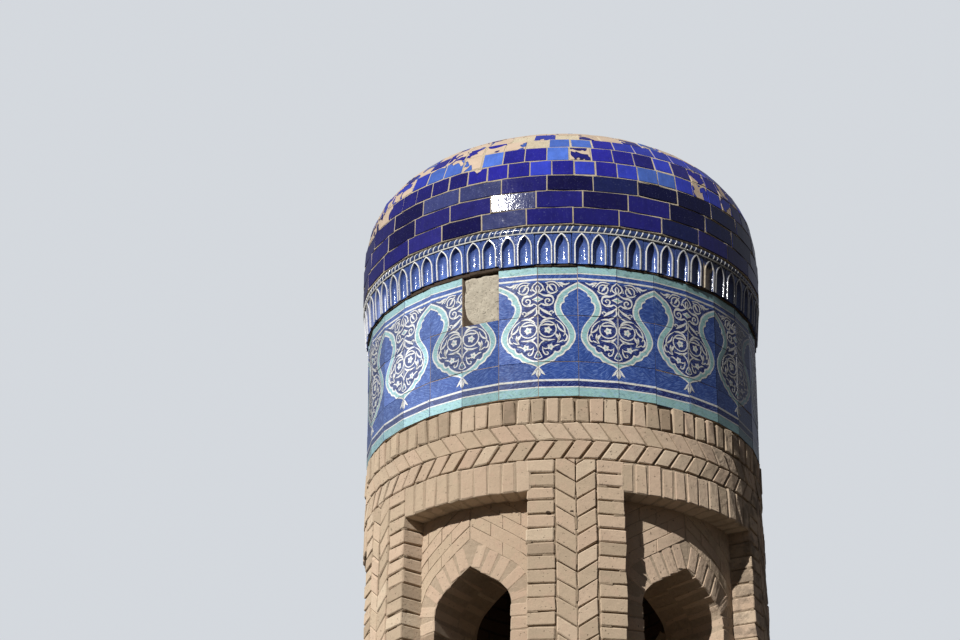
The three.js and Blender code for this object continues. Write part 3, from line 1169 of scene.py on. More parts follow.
def tile_drawing():
    """Half a medallion and half a lobe, u from the medallion's middle and v up the band."""
    art = Drawing()
    width = TILE_WIDTH * 1000
    for low, high, tone, layer in (
        (0, 41, TURQUOISE, 1), (41, 46.5, CREAM, 2), (72.5, 81.5, CREAM, 2),
        (560, 568.5, CREAM, 2), (587, 592, CREAM, 2), (592, 626, TURQUOISE, 1),
        (46.5, 72.5, NAVY, 1),
    ):
        art.area([(-1, low), (width + 1, low), (width + 1, high), (-1, high)], tone, layer)
    outer, inner = smooth_line(RIBBON_OUTER), smooth_line(RIBBON_INNER)
    across = inner - outer
    across /= np.hypot(*across.T)[:, None]
    middle = np.stack([np.full(len(inner), -1.0), inner[:, 1]], 1)
    art.strip(inner, middle, NAVY, 1)
    art.strip(outer, inner, CREAM, 2)
    art.strip(outer + across * 7.8, inner - across * 8.2, TURQUOISE, 3)

    # Pendant under the medallion
    art.area([(-1, 84), (5, 95), (3, 104), (-1, 100)], CREAM, 3)
    art.stroke([(-1, 140), (10, 128), (18, 114), (30, 103)], (4, 7, 10, 2))
    art.stroke([(-1, 128), (3, 118), (6, 106), (1, 90)], (9, 10, 9, 2))

    # Inside the medallion: stem, circle, rosettes and leaves
    art.stroke([(0, 176), (0, 240), (0, 300), (0, 390)], (3, 6, 7, 5), steps=1)
    art.circle((43, 322), 38, 5.5)
    art.disc((44, 318), 15, petals=5)
    art.disc((44, 318), 4.5, TURQUOISE, 4)
    art.stroke([(14, 340), (36, 345), (60, 342), (73, 345), (70, 352)], (3, 8, 7, 4, 2))
    art.stroke([(12, 352), (28, 366), (50, 374), (76, 370)], (3, 9, 9, 2))
    art.stroke([(8, 286), (24, 273), (46, 269), (76, 272)], (4, 10, 9, 2))
    art.stroke([(2, 232), (10, 252), (26, 266), (44, 268)], (4, 5, 6, 4))
    art.stroke([(78, 366), (98, 352), (114, 330), (119, 304), (112, 286)], (3, 5, 6, 6, 2))
    art.stroke([(84, 346), (92, 326), (106, 312), (118, 306)], (3, 7, 8, 4))
    art.stroke([(118, 302), (128, 286), (124, 268), (112, 262)], (5, 6, 8, 3))
    art.stroke([(76, 300), (84, 290), (92, 278), (90, 262)], (3, 12, 12, 2))
    art.stroke([(94, 302), (96, 288), (92, 272), (84, 256)], (2, 8, 8, 3))
    art.stroke([(88, 256), (100, 262), (112, 268)], (3, 6, 4))
    art.disc((55, 236), 13.5, petals=5)
    art.disc((55, 236), 4, TURQUOISE, 4)
    art.stroke([(70, 238), (82, 244), (94, 246)], (4, 7, 2))
    art.stroke([(20, 238), (22, 218), (30, 202), (42, 200), (44, 210), (37, 213)],
               (3, 5, 6, 5, 4, 2))
    art.stroke([(22, 232), (32, 228), (42, 230)], (2, 6, 3))
    art.stroke([(0, 222), (10, 204), (17, 188), (0, 178)], (3, 5, 5, 4), steps=1)
    art.area([(-1, 210), (5, 200), (0, 190), (-1, 190)], TURQUOISE, 4)

    # Above the neck: crossing stems, leaves, quatrefoil and spirals
    art.stroke([(0, 434), (12, 424), (26, 412), (44, 402), (62, 388)], (4, 6, 11, 12, 3))
    art.stroke([(0, 434), (6, 420), (4, 404), (10, 392)], (3, 4, 8, 3))
    art.stroke([(46, 400), (60, 410), (70, 404), (62, 398)], (4, 5, 5, 2))
    art.stroke([(8, 400), (14, 390), (26, 380), (40, 376)], (3, 6, 8, 3))
    art.stroke([(0, 434), (16, 446), (30, 440), (52, 440), (66, 448)], (4, 5, 9, 8, 4))
    art.stroke([(66, 448), (70, 464), (64, 480), (50, 486), (30, 486), (4, 500)],
               (5, 6, 9, 12, 8, 4))
    art.stroke([(52, 441), (36, 448), (34, 464), (46, 470), (54, 462), (46, 456)],
               (5, 6, 6, 6, 5, 3))
    art.area([(-1, 486), (8, 478), (27, 469), (8, 459), (-1, 450)], CREAM, 3)
    art.area([(-1, 479), (4, 472), (17, 469), (4, 464), (-1, 457)], TURQUOISE, 4)
    art.stroke([(2, 498), (14, 508), (24, 520), (20, 536), (8, 546), (-1, 556)],
               (4, 6, 7, 6, 5, 3))
    art.stroke([(1, 500), (6, 512), (8, 524), (1, 536)], (4, 5, 5, 3))
    art.stroke([(22, 522), (30, 516), (28, 508)], (4, 6, 2))
    art.circle((62, 520), 21, 5, start=-30, end=250)
    art.stroke([(40, 544), (50, 536), (60, 520), (70, 508)], (4, 8, 10, 2))
    art.stroke([(44, 500), (62, 496), (80, 502), (90, 512)], (3, 7, 6, 3))
    art.stroke([(34, 548), (56, 553), (76, 551), (90, 538), (98, 526)], (3, 5, 6, 5, 3))
    art.stroke([(88, 548), (104, 545), (122, 538), (142, 546)], (3, 10, 8, 3))
    art.stroke([(96, 540), (108, 532), (112, 526)], (3, 7, 2))
    return art


def tile_courses():
    """Three courses of flat tiles, each a bevelled plate with its share of the pattern."""
    art = tile_drawing()
    points = np.array(art.points) * (0.001, 0.001, 1)
    sheet = joined_mesh("tile_pattern", points, art.faces, {"glaze": art.tones})
    for course, name in enumerate(("low", "middle", "high")):
        tile_course(sheet, course, name)
    bpy.data.objects.remove(sheet)


def glaze_plates(sheet, low, high):
    """One tile's share of the pattern as thin plates: points, lifts, faces and colours."""
    row = sheet.copy()
    row.data = sheet.data.copy()
    bpy.context.scene.collection.objects.link(row)
    alone(row)
    edit_mode()
    margin = 0.0016
    for place, outwards in (
        ((0, low + margin, 0), (0, -1, 0)), ((0, high - margin, 0), (0, 1, 0)),
        ((margin, 0, 0), (-1, 0, 0)), ((TILE_WIDTH - margin, 0, 0), (1, 0, 0)),
    ):
        bpy.ops.mesh.select_all(action="SELECT")
        bpy.ops.mesh.bisect(plane_co=place, plane_no=outwards, clear_outer=True)
    object_mode()
    thicken(row, 0.0012, 1)
    tones = np.zeros(len(row.data.vertices) * 4, np.float32)
    row.data.attributes["glaze"].data.foreach_get("color", tones)
    points, faces = taken_apart(row)
    layer = np.floor(points[:, 2] + 0.01)
    lift = layer * 0.0003 + (points[:, 2] - layer) * 0.35 - 0.0003
    return points[:, :2], lift, faces, tones.reshape(-1, 4)


def tile_body(low, high):
    """A tile's body, a slab with eased edges: points, lifts, faces and colours."""
    deselect()
    bpy.ops.mesh.primitive_cube_add(size=1)
    plate = started("tile_body")
    plate.scale = (TILE_WIDTH - 0.0024, high - low - 0.0026, 0.026)
    plate.location = (TILE_WIDTH / 2, (low + high) / 2, -0.013)
    apply_place()
    edit_all()
    bpy.ops.mesh.bevel(offset=0.0014, segments=2, affect="EDGES")
    object_mode()
    points, faces = taken_apart(plate)
    return points[:, :2], points[:, 2], faces, np.tile(COBALT, (len(points), 1))


def tile_course(sheet, course, name):
    """One course of tiles, every second one mirrored, each set a little askew."""
    low, high = TILE_ROWS[course]
    middle = (low + high) / 2
    tile = (glaze_plates(sheet, low, high), tile_body(low, high))
    chance = np.random.default_rng(90 + course)
    corners, faces, joints = [], [], []
    layers = {"tint": [], "glaze": [], "spot": []}
    for i in range(TILES_ROUND):
        if course == 2 and i == MISSING_TILE % TILES_ROUND:
            continue
        mirrored = i % 2 == 1
        turn = math.radians(TILE_JOINT_ANGLE + TILE_TURN * (i + 0.5))
        sink, yaw, pitch = chance.normal(0, (0.0008, 0.006, 0.004))
        shade, drop = chance.uniform(0, 1), chance.normal(0, 0.0007)
        if i == TILES_ROUND - 1:
            yaw = -0.012
        joints.append(lay(turn, middle, TILE_WIDTH, high - low, 0.02, -0.0023 + sink))
        for flat, out, shapes, tones in tile:
            across = (flat[:, 0] - TILE_WIDTH / 2) * (-1 if mirrored else 1)
            reach = TILE_FACE + sink + out + yaw * across + pitch * (flat[:, 1] - middle)
            first = sum(map(len, corners))
            height = BAND_BOTTOM + flat[:, 1] + drop
            corners.append(np.stack([*from_axis(turn, reach, across), height], 1))
            order = reversed if mirrored else list
            faces += [[first + corner for corner in order(face)] for face in shapes]
            layers["tint"].append(np.full(len(flat), shade))
            layers["glaze"].append(tones)
            layers["spot"].append(np.column_stack([flat, np.full(len(flat), 0.37 * i)]))
    laid_bricks(
        f"tile_joints_{name}", joints, each_flat(TILE_FACE, BAND_BOTTOM), 95 + course,
        rough=0.0002, worn=0.0004, material=PALE_MORTAR, slot="mortar")
    layers = {key: np.concatenate(values) for key, values in layers.items()}
    piece = joined_mesh(f"tiles_{name}", np.vstack(corners), faces, layers)
    settle(piece, MAJOLICA, (f"tile_course_{name}",))


def bare_patch():
    """Rough mortar where one tile of the top course has fallen off."""
    low, high = TILE_ROWS[2]
    deselect()
    bpy.ops.mesh.primitive_grid_add(x_subdivisions=26, y_subdivisions=36, size=1)
    patch = started("bare_mortar_patch")
    chance = np.random.default_rng(101)
    turn = math.radians(TILE_JOINT_ANGLE + TILE_TURN * (MISSING_TILE + 0.5))
    wave = chance.uniform(0, 6, 12)
    for point in patch.data.vertices:
        x, y = point.co.x + 0.5, point.co.y + 0.5
        rag = 0.5 * math.sin(9 * y + wave[0]) + 0.5 * math.sin(23 * y + wave[1])
        rise = 0.5 * math.sin(8 * x + wave[2]) + 0.5 * math.sin(19 * x + wave[3])
        left = 0.008 + 0.003 * rag + 0.02 * max(0, 0.2 - y) / 0.2
        across = -TILE_WIDTH / 2 + left + x * (TILE_WIDTH - left - 0.001)
        foot = low - 0.002 + 0.03 * max(0, 0.22 - x) / 0.22
        top = high - 0.004 + 0.004 * rise - 0.012 * max(0, x - 0.75) / 0.25
        up = foot + y * (top - foot)
        lump = sum(
            math.sin(across * f * 60 + wave[4 + k]) * math.sin(up * f * 60 + wave[8 + k]) / f
            for k, f in enumerate((0.8, 1.7, 3.1, 5.3)))
        rim = min(x, 1 - x, y, 1 - y)
        sunk = 0.006 - 0.0022 * lump + 0.008 * max(0, 0.04 - rim) / 0.04
        reach = TILE_FACE - sunk + chance.normal(0, 0.0006)
        point.co = (*from_axis(turn, reach, across), BAND_BOTTOM + up)
    thicken(patch, 0.012, -1)
    settle(patch, PATCH_MORTAR, smooth=50)

    def wrap(along, up, out):
        return (*from_axis(turn, TILE_FACE + out, along * TILE_WIDTH), BAND_BOTTOM + up)

    # The bed behind the patch is dark mortar, partly painted shade in the gap beside the patch
    bed = [lay(0, (low + high) / 2, 0.98, high - low - 0.002, 0.008, -0.013)]
    laid_bricks(
        "patch_bed", bed, wrap, 102, rough=0.0005, worn=0.001, material=SHADE_DARK_MORTAR,
        slot="mortar")


# Frieze of niches

FRIEZE_TILES = 35
FRIEZE_SEAM_ANGLE = -10.6
FRIEZE_FACE = 0.917
FRIEZE_BEDDING = 0.904
FRIEZE_BACK = 0.888
BARE_NICHE = (5, -1)
BARE_CLAY = colour(250, 232, 200)


def sagging(degrees):
    """True on the left of the front, where the bedding under the frieze is thick."""
    return -54 < from_front(degrees) < -20


def niche_outline(grow):
    """Half-width and height of a pointed niche's edge, from its foot up to the point."""
    half, spring = 0.0275, 0.080
    sweep = 2.7 * half
    turn = math.acos((sweep - half) / sweep)
    reach = sweep + grow
    points = [(half + grow, v) for v in (0.0, spring * 0.4, spring * 0.75)]
    for t in np.linspace(0, turn, 8)[:-1]:
        points.append((half - sweep + reach * math.cos(t), spring + reach * math.sin(t)))
    points.append((0.0, spring + sweep * math.sin(turn) + grow / math.sin(turn)))
    return points


def niche_light_and_shade(share):
    """A hollow's glaze with painted light and shade: paler at its foot, where the light falls,
    deeper in its head.
    """
    return tuple(low + (high - low) * share for low, high in zip(NICHE_LIT_FOOT, NICHE_SHADED_HEAD))


def niche_cell(left, right, height):
    """One niche with its raised rim and scooped hollow, closed at the back."""

    def both(points):
        return [(-x, v) for x, v in points] + [(x, v) for x, v in reversed(points[:-1])]

    deep = both(niche_outline(-0.001))
    count = len(deep)
    border = []
    upright = 0.28
    for share in np.arange(count) / (count - 1):
        if share < upright:
            border.append((left, height * share / upright))
        elif share > 1 - upright:
            border.append((right, height * (1 - share) / upright))
        else:
            level = (share - upright) / (1 - 2 * upright)
            border.append((left + (right - left) * level, height))
    rings = [(border, -0.028, NICHE_BLUE), (border, 0.0, NICHE_BLUE)]
    for grow, out, tone in (
        (0.0066, 0.0, NICHE_BLUE), (0.0054, 0.0042, NICHE_WHITE), (0.0008, 0.0046, NICHE_WHITE),
        (-0.0010, -0.002, NICHE_BLUE),
    ):
        rings.append((both(niche_outline(grow)), out, tone))
    flat_rings = len(rings)
    for share, foot_height, out in (
        (0.88, 0.004, -0.0085), (0.58, 0.012, -0.0150), (0.20, 0.022, -0.0175),
    ):
        head = 1 - (1 - share) * 0.18
        ring = [(x * share, foot_height + v * (head - foot_height / 0.13)) for x, v in deep]
        rings.append((ring, out, None))
    corners, tones, faces = [], [], []
    for ring, out, tone in rings:
        lean = 0 if tone else 0.035
        corners += [(x, v, out - lean * v) for x, v in ring]
        tones += [tone or niche_light_and_shade(min(v / 0.11, 1)) for x, v in ring]
    for j in range(len(rings) - 1):
        for i in range(count - 1):
            a = j * count + i
            faces.append([a, a + 1, a + count + 1, a + count])
    inner = (len(rings) - 1) * count
    faces.append(list(range(inner, inner + count)))
    faces.append(list(range(count))[::-1])
    foot = [j * count for j in range(flat_rings)]
    foot += [j * count + count - 1 for j in reversed(range(flat_rings))]
    faces.append(foot[::-1])
    for j in range(flat_rings - 1, len(rings) - 1):
        a, b = j * count, (j + 1) * count
        faces.append([a, b, b + count - 1, a + count - 1])
    return np.array(corners), faces, tones


def frieze():
    """Tiles of two niches each, on a bed of mortar that is thicker on the left."""
    height = FRIEZE_TOP - BAND_TOP - 0.010
    turn = 2 * pi / FRIEZE_TILES
    pitch = turn * FRIEZE_FACE / 2
    shift = 0.0034
    chance = np.random.default_rng(140)
    corners, faces, tones, tint = [], [], [], []
    for i in range(FRIEZE_TILES):
        middle = math.radians(FRIEZE_SEAM_ANGLE) + turn * (i + 0.5)
        sink, drop, shade = *chance.normal(0, (0.001, 0.0008)), chance.uniform(0, 1)
        lift = 0.010 if sagging(math.degrees(middle)) else 0.0
        for side in (-1, 1):
            outer = pitch / 2 + shift - 0.0012
            inner = pitch / 2 - shift
            left, right = (-outer, inner) if side < 0 else (-inner, outer)
            cell, shapes, paint = niche_cell(left, right, height)
            v = cell[:, 1]
            radius = FRIEZE_RADIUS - 0.001 + 0.010 * v / height + cell[:, 2] + sink
            angle = middle + (cell[:, 0] + side * inner) / FRIEZE_FACE
            up = BAND_TOP + 0.009 + drop + lift + v * (1 - lift / height)
            first = sum(map(len, corners))
            corners.append(np.stack([*from_axis(angle, radius), up], 1))
            faces += [[first + c for c in face] for face in shapes]
            if (i, side) == BARE_NICHE:
                paint = [BARE_CLAY if x < 0.022 and v < 0.11 else tone
                         for (x, v, _), tone in zip(cell, paint)]
            tones += paint
            tint.append(np.full(len(cell), shade))
    layers = {"tint": np.concatenate(tint), "glaze": tones}
    piece = joined_mesh("niche_tiles", np.vstack(corners), faces, layers)
    alone(piece)
    edit_mode()
    face_outwards()
    settle(piece, FRIEZE_GLAZE, ("niche_frieze",), smooth=40)
    # The bedding and the mortar behind the frieze are dark, partly painted shade under the
    # frieze's overhang
    bedding = []
    count = 150
    for i in range(count):
        thick = chance.uniform(0.0075, 0.0095)
        if sagging(360 * i / count):
            thick += chance.uniform(0.006, 0.011)
        bedding.append(lay(2 * pi * i / count, BAND_TOP + thick / 2, 0.043, thick, 0.03))
    laid_bricks(
        "frieze_bedding", bedding, each_flat(FRIEZE_BEDDING), 141, rough=0.0012, worn=0.002,
        material=SHADE_DARK_MORTAR, slot="mortar")
    back = tube("frieze_mortar", BAND_TOP + 0.001, ROPE_TOP, FRIEZE_BACK, LANTERN_INNER)
    settle_core(back, (), SHADE_DARK_MORTAR)


def painted(piece, tone, tint, nodes=()):
    """Settles a piece of one colour in the frieze's glaze."""
    count = len(piece.data.vertices)
    add_layer(piece.data, "glaze", np.tile(tone, (count, 1)))
    add_layer(piece.data, "tint", np.full(count, tint))
    settle(piece, FRIEZE_GLAZE, nodes, smooth=40)


def rope():
    """A half-round blue moulding with raised white strands slanting across it."""
    bottom, top = FRIEZE_TOP + 0.001, ROPE_TOP - 0.001
    half, middle = (top - bottom) / 2, (top + bottom) / 2
    back = 0.88
    outline = [(back, bottom)]
    for i in range(7):
        turn = pi * (i / 6 - 0.5)
        radius = ROPE_RADIUS - 0.003 - half * (1 - math.cos(turn))
        outline.append((radius, middle + half * math.sin(turn)))
    outline.append((back, top))
    painted(turned("rope_core", outline, 160), ROPE_BLUE, 0.5, ("rope_moulding",))
    count = 200
    chance = np.random.default_rng(150)
    section = [(-1.0, 0.0), (-0.5, 0.9), (0.5, 0.9), (1.0, 0.0), (0.0, -1.2)]
    size = len(section)
    stops = np.linspace(-0.46 * pi, 0.46 * pi, 7)
    corners, faces = [], []
    for i in range(count):
        centre = 2 * pi * (i + chance.uniform(-0.1, 0.1)) / count
        first = len(corners)
        for stop in stops:
            level, rise = math.cos(stop), math.sin(stop)
            for across, out in section:
                radius = ROPE_RADIUS - 0.0035 - half * (1 - level) + out * 0.0022 * level
                turn = centre + 0.0085 * rise + across * 0.0036
                corners.append((*from_axis(turn, radius), middle + (half + out * 0.001) * rise))
        for j in range(len(stops) - 1):
            for k in range(size):
                a, b = first + j * size + k, first + j * size + (k + 1) % size
                faces.append([a, b, b + size, a + size])
        faces.append([first + k for k in range(size)])
        faces.append([first + (len(stops) - 1) * size + k for k in range(size)])
    strands = joined_mesh("rope_strands", corners, faces)
    alone(strands)
    edit_mode()
    face_outwards()
    painted(strands, NICHE_WHITE, 0.6)
    foot, top = FRIEZE_TOP - 0.003, FRIEZE_TOP + 0.0015
    outline = [(0.9, foot), (0.9265, foot), (0.9275, top), (0.9, top)]
    painted(turned("rope_foot_line", outline, 160), CREAM, 0.5)


# Dome

def dome_curve():
    """Along the dome's outside: the run, then radius, height and the way outwards."""
    turn = np.linspace(0, pi / 2, 900)
    rise = np.sin(turn)
    radius = DOME_RADIUS * np.maximum(1 - rise**DOME_POWER_UP, 0) ** (1 / DOME_POWER_OUT)
    height = ROPE_TOP + DOME_RISE * rise
    run = np.concatenate([[0], np.cumsum(np.hypot(np.diff(radius), np.diff(height)))])
    way_r, way_z = np.gradient(radius), np.gradient(height)
    size = np.hypot(way_r, way_z)
    return run, (radius, height, way_z / size, -way_r / size)


DOME_RUN, DOME_CURVES = dome_curve()

# Heights of the lowest rows of the dome, and the angle of one joint in each
DOME_ROWS = (0.082, 0.085, 0.081, 0.083, 0.092, 0.085)
DOME_JOINTS = (0.1, 2.9, 5.9, 0.6, -0.6, 0.0)

# A greyish glaze, partly painted reflection: given to bricks turned towards the glint, it stands
# for the pale sky they mirror
SLATE_SHEEN = colour(50, 55, 98)
NIGHT = colour(16, 13, 60)
INK = colour(12, 13, 54)
MIDNIGHT = colour(21, 27, 70)
NAVY_GLAZE = colour(36, 34, 100)
ULTRAMARINE = colour(28, 26, 96)
ROYAL = colour(34, 32, 128)
BRIGHT = colour(44, 55, 158)
CORNFLOWER = colour(70, 100, 178)

# Bricks whose glaze is told apart: row, first and last angle, glaze
GLAZES = (
    (0, -51.3, -38.5, NAVY_GLAZE), (0, -38.5, -25.6, NIGHT), (0, -25.6, -12.7, SLATE_SHEEN),
    (0, -12.7, 25.8, ULTRAMARINE), (0, 25.8, 38.7, MIDNIGHT), (0, 38.7, 60, NAVY_GLAZE),
    (1, -61, -48.5, NIGHT), (1, -48.5, -22.9, NAVY_GLAZE), (1, -22.8, -10, SLATE_SHEEN),
    (1, -10, 3, ULTRAMARINE), (1, 3, 15.7, NIGHT), (1, 15.8, 28.6, ULTRAMARINE),
    (1, 28.6, 41.5, INK), (1, 41.5, 80, MIDNIGHT),
    (2, -58, -46, NIGHT), (2, -46, -20, SLATE_SHEEN), (2, -20, -7, ULTRAMARINE), (2, -7, 6, NIGHT),
    (2, 6, 19, MIDNIGHT), (2, 19, 44.5, INK), (2, 44.5, 80, MIDNIGHT),
    (3, -80, -30, ULTRAMARINE), (3, -30, -14, ROYAL), (3, -14, -7, BRIGHT), (3, -7, 0, ROYAL),
    (3, 0, 7, BRIGHT), (3, 7, 14, ROYAL), (3, 14, 21, BRIGHT), (3, 21, 34, CORNFLOWER),
    (3, 34, 55, BRIGHT), (3, 55, 90, NAVY_GLAZE),
    (4, -90, -44, BRIGHT), (4, -44, -20, CORNFLOWER), (4, -20, -6, ROYAL),
    (4, -6, 0, CORNFLOWER), (4, 0, 6, ULTRAMARINE), (4, 6, 21, ROYAL), (4, 21, 28, ULTRAMARINE),
    (4, 28, 34, BRIGHT), (4, 34, 41, NAVY_GLAZE), (4, 41, 90, ROYAL),
    (5, -44, -20, ROYAL), (5, -7, 8, CORNFLOWER), (5, 8, 16, ROYAL), (5, 16, 44, BRIGHT),
)

# Bricks whose glaze has flaked off: row, first and last angle, share of it lost
WORN_SPOTS = (
    (3, -90, -64, 0.48), (4, -90, -52, 0.52), (5, -90, -44, 0.54), (4, -44, -34, 0.42),
    (4, -34, -27, 0.53), (5, -40, -28, 0.47), (5, -28, -21.2, 0.42), (5, -21.2, -14, 0.62),
    (5, -14, -7, 0.82), (4, 0, 6, 0.47), (3, 35, 42, 0.42), (4, 36, 44, 0.45),
    (3, 49, 56, 0.44), (4, 50, 62, 0.5), (3, -28, -22, 0.42),
)

# Glazes of the other bricks in each row, from the lowest up, and the share of each glaze
MIXED_GLAZES = (
    ((ULTRAMARINE, NAVY_GLAZE), (0.6, 0.4)),
    ((ULTRAMARINE, NAVY_GLAZE, NIGHT), (0.6, 0.2, 0.2)),
    ((ULTRAMARINE, NAVY_GLAZE, NIGHT), (0.4, 0.3, 0.3)),
    ((ROYAL, BRIGHT, ULTRAMARINE), (0.55, 0.25, 0.2)),
    ((ROYAL, BRIGHT, CORNFLOWER), (0.4, 0.25, 0.35)),
)


def told(table, row, degrees):
    """What a table says of a brick of the dome, or None."""
    for its_row, first, last, value in table:
        if row == its_row and first < degrees < last:
            return value
    return None


# Bricks in the two lowest rows that catch the light: angle, and their turn and tilt
SHEEN_BRICKS = ((-16.4, -0.036, 0.0), (-19.2, 0.010, 0.045))


def dome_tone(row, degrees, chance):
    """The glaze of one dome brick: dark rows below, lighter ones above."""
    tones, shares = MIXED_GLAZES[min(row, len(MIXED_GLAZES) - 1)]
    return told(GLAZES, row, degrees) or tones[chance.choice(len(tones), p=shares)]


def dome_loss(row, degrees, chance):
    """How much of a dome brick's glaze has flaked off, from 0 to 1."""
    loss = told(WORN_SPOTS, row, degrees)
    if loss:
        return loss
    if row >= len(DOME_ROWS):
        return float(np.clip(chance.normal(0.58, 0.13), 0, 1))
    if row < 3 or abs(degrees) < 70:
        return 0.15
    return float(np.clip(chance.normal(0.38, 0.1), 0, 0.95))


def dome_at(run):
    """Radius, height and the way outwards (out, up) at a run along the dome's outside."""
    return [np.interp(run, DOME_RUN, curve) for curve in DOME_CURVES]


def dome_core():
    sunk = 0.0095
    outline = [(LANTERN_INNER, ROPE_TOP)]
    for run in np.linspace(0.0, DOME_RUN[-1], 34):
        radius, height, out_r, out_z = dome_at(run)
        outline.append((max(radius - sunk * out_r, 0.0), height - sunk * out_z))
    outline[-1] = (0.0, outline[-1][1])
    outline[1] = (outline[1][0], ROPE_TOP)
    for i in range(10):
        turn = pi / 2 * (1 - i / 10)
        up = ROPE_TOP + DOME_INNER_RISE * math.sin(turn)
        outline.append((LANTERN_INNER * math.cos(turn), up))
    core = turned("dome_mortar", outline, 128)
    settle_core(core, ("dome",), DOME_MORTAR, smooth=40)


def dome():
    """Rows of glazed bricks up the dome, each a little bowed and askew."""
    dome_core()
    chance = np.random.default_rng(171)
    bricks, glaze, bare, matt = [], [], [], []
    low, row = 0.004, 0
    while low < DOME_RUN[-1] - 0.03:
        listed = row < len(DOME_ROWS)
        pitch = DOME_ROWS[row] if listed else 0.085
        middle = low + pitch / 2
        radius = float(dome_at(middle)[0])
        count = 28 if row < 3 else max(5, round(2 * pi * radius / 0.099))
        joint = DOME_JOINTS[row] if listed else chance.uniform(0, 40)
        for i in range(count):
            degrees = from_front(joint + 360 * (i + 0.5) / count)
            loss = dome_loss(row, degrees, chance)
            bricks.append((math.radians(degrees), middle, 2 * pi / count, pitch, loss, radius))
            tone = np.array(dome_tone(row, degrees, chance))
            matt.append(1.0 if row > 0 and tuple(tone) == SLATE_SHEEN else 0.0)
            tone[:3] *= chance.uniform(0.82, 1.18)
            glaze.append(tone)
            bare.append(loss)
        low += pitch
        row += 1

    yaw, tilt = chance.normal(0, 0.012, (2, len(bricks), 1))
    for i, (turn, middle, *_) in enumerate(bricks):
        for degrees, its_yaw, its_tilt in SHEEN_BRICKS:
            if abs(math.degrees(turn) - degrees) < 1 and middle < DOME_ROWS[0] * 2:
                yaw[i], tilt[i] = its_yaw, its_tilt

    def wrap(along, up, out):
        turn, run = along.mean(axis=1, keepdims=True), up.mean(axis=1, keepdims=True)
        radius, height, out_r, out_z = dome_at(run)
        across, rise = along - turn, up - run
        side = across * radius
        out = out + yaw * side + tilt * rise - 0.5 * across * side / 2
        reach = radius - rise * out_z + out * out_r
        narrowed = side * (dome_at(up)[0] / radius)
        return (*from_axis(turn, reach, narrowed), height + rise * out_r + out * out_z)

    laid, joints = [], []
    for turn, middle, width, pitch, loss, radius in bricks:
        sunk = -0.0030 if loss > 0.8 else 0.0006
        gap = chance.uniform(0.0038, 0.0055) if chance.uniform() < 0.85 else 0.009
        laid.append(lay(turn, middle, width - gap / radius, pitch - gap, 0.05, sunk))
        joints.append(lay(turn, middle, width * 1.03, pitch * 1.03, 0.05, -0.0014))
    laid_bricks(
        "dome_joints", joints, wrap, 173, rough=0.0004, worn=0.001, material=DOME_MORTAR,
        slot="mortar")
    laid_bricks(
        "dome_bricks", laid, wrap, 172, rough=0.0004, worn=0.002, material=GLAZED_BRICK,
        slot="glazed_brick", cuts=2, smooth=20, bare=bare, matt=matt, glaze=glaze)


shaft_core()
belt_core()
lantern_core()
bands_core()
plinth()
paving("shaft_paving", PLINTH_TOP, 0.60, 8)
paving("lantern_paving", LANTERN_FLOOR, 0.47, 9)
shaft_bricks()
soldier_course("belt_soldiers", SHAFT_TOP, BELT_SOLDIER_TOP, 11)
herringbone_band("belt_herringbone", BELT_SOLDIER_TOP, BELT_HERRINGBONE_TOP, 12)
soldier_course("sill_soldiers", BELT_HERRINGBONE_TOP, LANTERN_FLOOR, 13)
pier_bricks()
for number, bay in enumerate(BAYS):
    bay_wall_bricks(number, *bay)
soldier_course("lintel_soldiers", RECESS_TOP, LINTEL_TOP, 41, skip=in_a_pier, flush=True)
herringbone_band("herringbone", LINTEL_TOP, HERRINGBONE_TOP, 42)
soldier_course("band_soldiers", HERRINGBONE_TOP, BAND_BOTTOM, 43, ragged=2.0)
tile_courses()
bare_patch()
frieze()
rope()
dome()
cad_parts["lantern_floor"].data.materials.clear()
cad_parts["lantern_floor"].data.materials.append(SHADED_INNER_BRICK)

SUN_AZIMUTH = -34
SUN_ELEVATION = 28.5
CAMERA_PLACE = (-0.824, -13.475, 1.6)
CAMERA_PITCH = 24.888
CAMERA_YAW = -1.884
CAMERA_LENS = 118.8


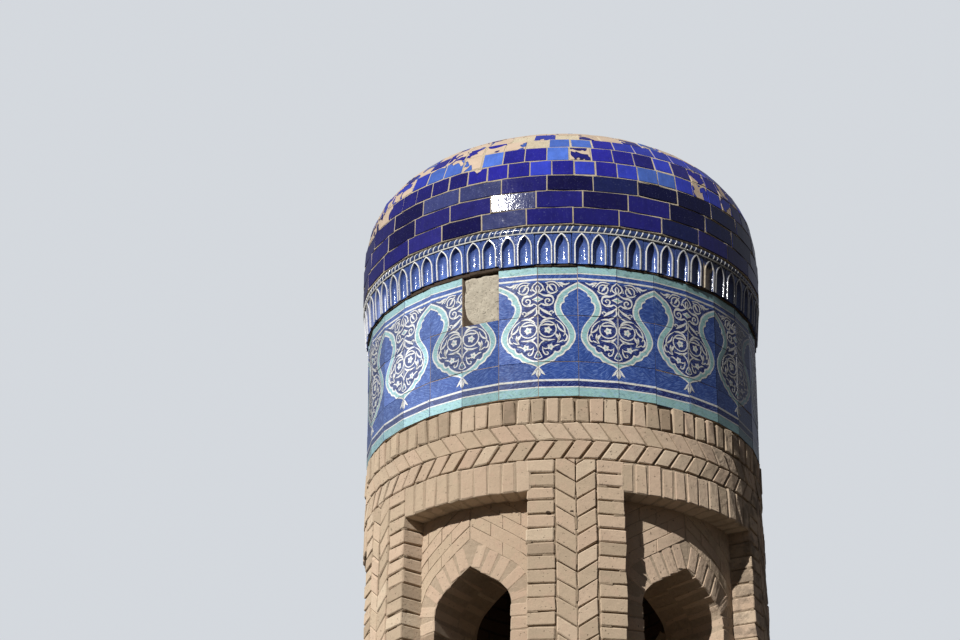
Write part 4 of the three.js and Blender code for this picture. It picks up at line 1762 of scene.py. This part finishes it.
def studio():
    """A plain pale floor, a low sun from the left, a dim fill and a pale surround."""
    deselect()
    bpy.ops.mesh.primitive_circle_add(
        vertices=96, radius=3.3, fill_type="NGON", location=(0, 0, -0.002))
    floor = started("studio_floor")
    ground = Finish("pale_floor", roughness=0.85)
    patches = ground.noise(0.6, 3.0) * 0.5
    tone = ground.over(colour(196, 195, 192), (patches, colour(186, 185, 183)))
    floor.data.materials.append(ground.show(Base_Color=tone))

    bpy.ops.object.light_add(type="SUN")
    sun = bpy.context.object
    sun.data.energy = 5.3
    sun.data.angle = math.radians(0.7)
    sun.data.color = (0.98, 0.975, 0.965)
    sun.rotation_euler = (math.radians(90 - SUN_ELEVATION), 0, math.radians(SUN_AZIMUTH))

    world = bpy.data.worlds.new("pale_surround")
    bpy.context.scene.world = world
    world.use_nodes = True
    around = Nodes(world.node_tree)
    fill, out = (around.tree.nodes[name] for name in ("Background", "World Output"))
    place = around.node("TexCoord", output="Generated")
    height = around.node("SeparateXYZ", inputs={0: place}, output=2)
    above = around.node("MapRange", inputs={0: height, "From Min": -0.1, "From Max": 0.15})
    below_tone, above_tone = (0.072, 0.060, 0.046, 1), (0.124, 0.130, 0.154, 1)
    dim = around.node("Mix", {"data_type": "RGBA"}, {0: above, 6: below_tone, 7: above_tone}, 2)
    plug(around.tree, fill.inputs[0], dim)
    seen = around.node("Background", inputs={0: (0.66, 0.69, 0.73, 1), 1: 1.0})
    by_camera = around.node("LightPath", output="Is Camera Ray")
    lit = Wire(around.tree, fill.outputs[0])
    shown = around.node("MixShader", inputs={0: by_camera, 1: lit, 2: seen})
    plug(around.tree, out.inputs[0], shown)

    bpy.ops.object.camera_add(
        location=CAMERA_PLACE,
        rotation=(math.radians(90 + CAMERA_PITCH), 0, math.radians(CAMERA_YAW)))
    camera = bpy.context.object
    camera.data.lens = CAMERA_LENS
    camera.data.sensor_width = 36
    camera.data.clip_end = 200
    bpy.context.scene.camera = camera
    bpy.context.scene.view_settings.view_transform = "Standard"


studio()
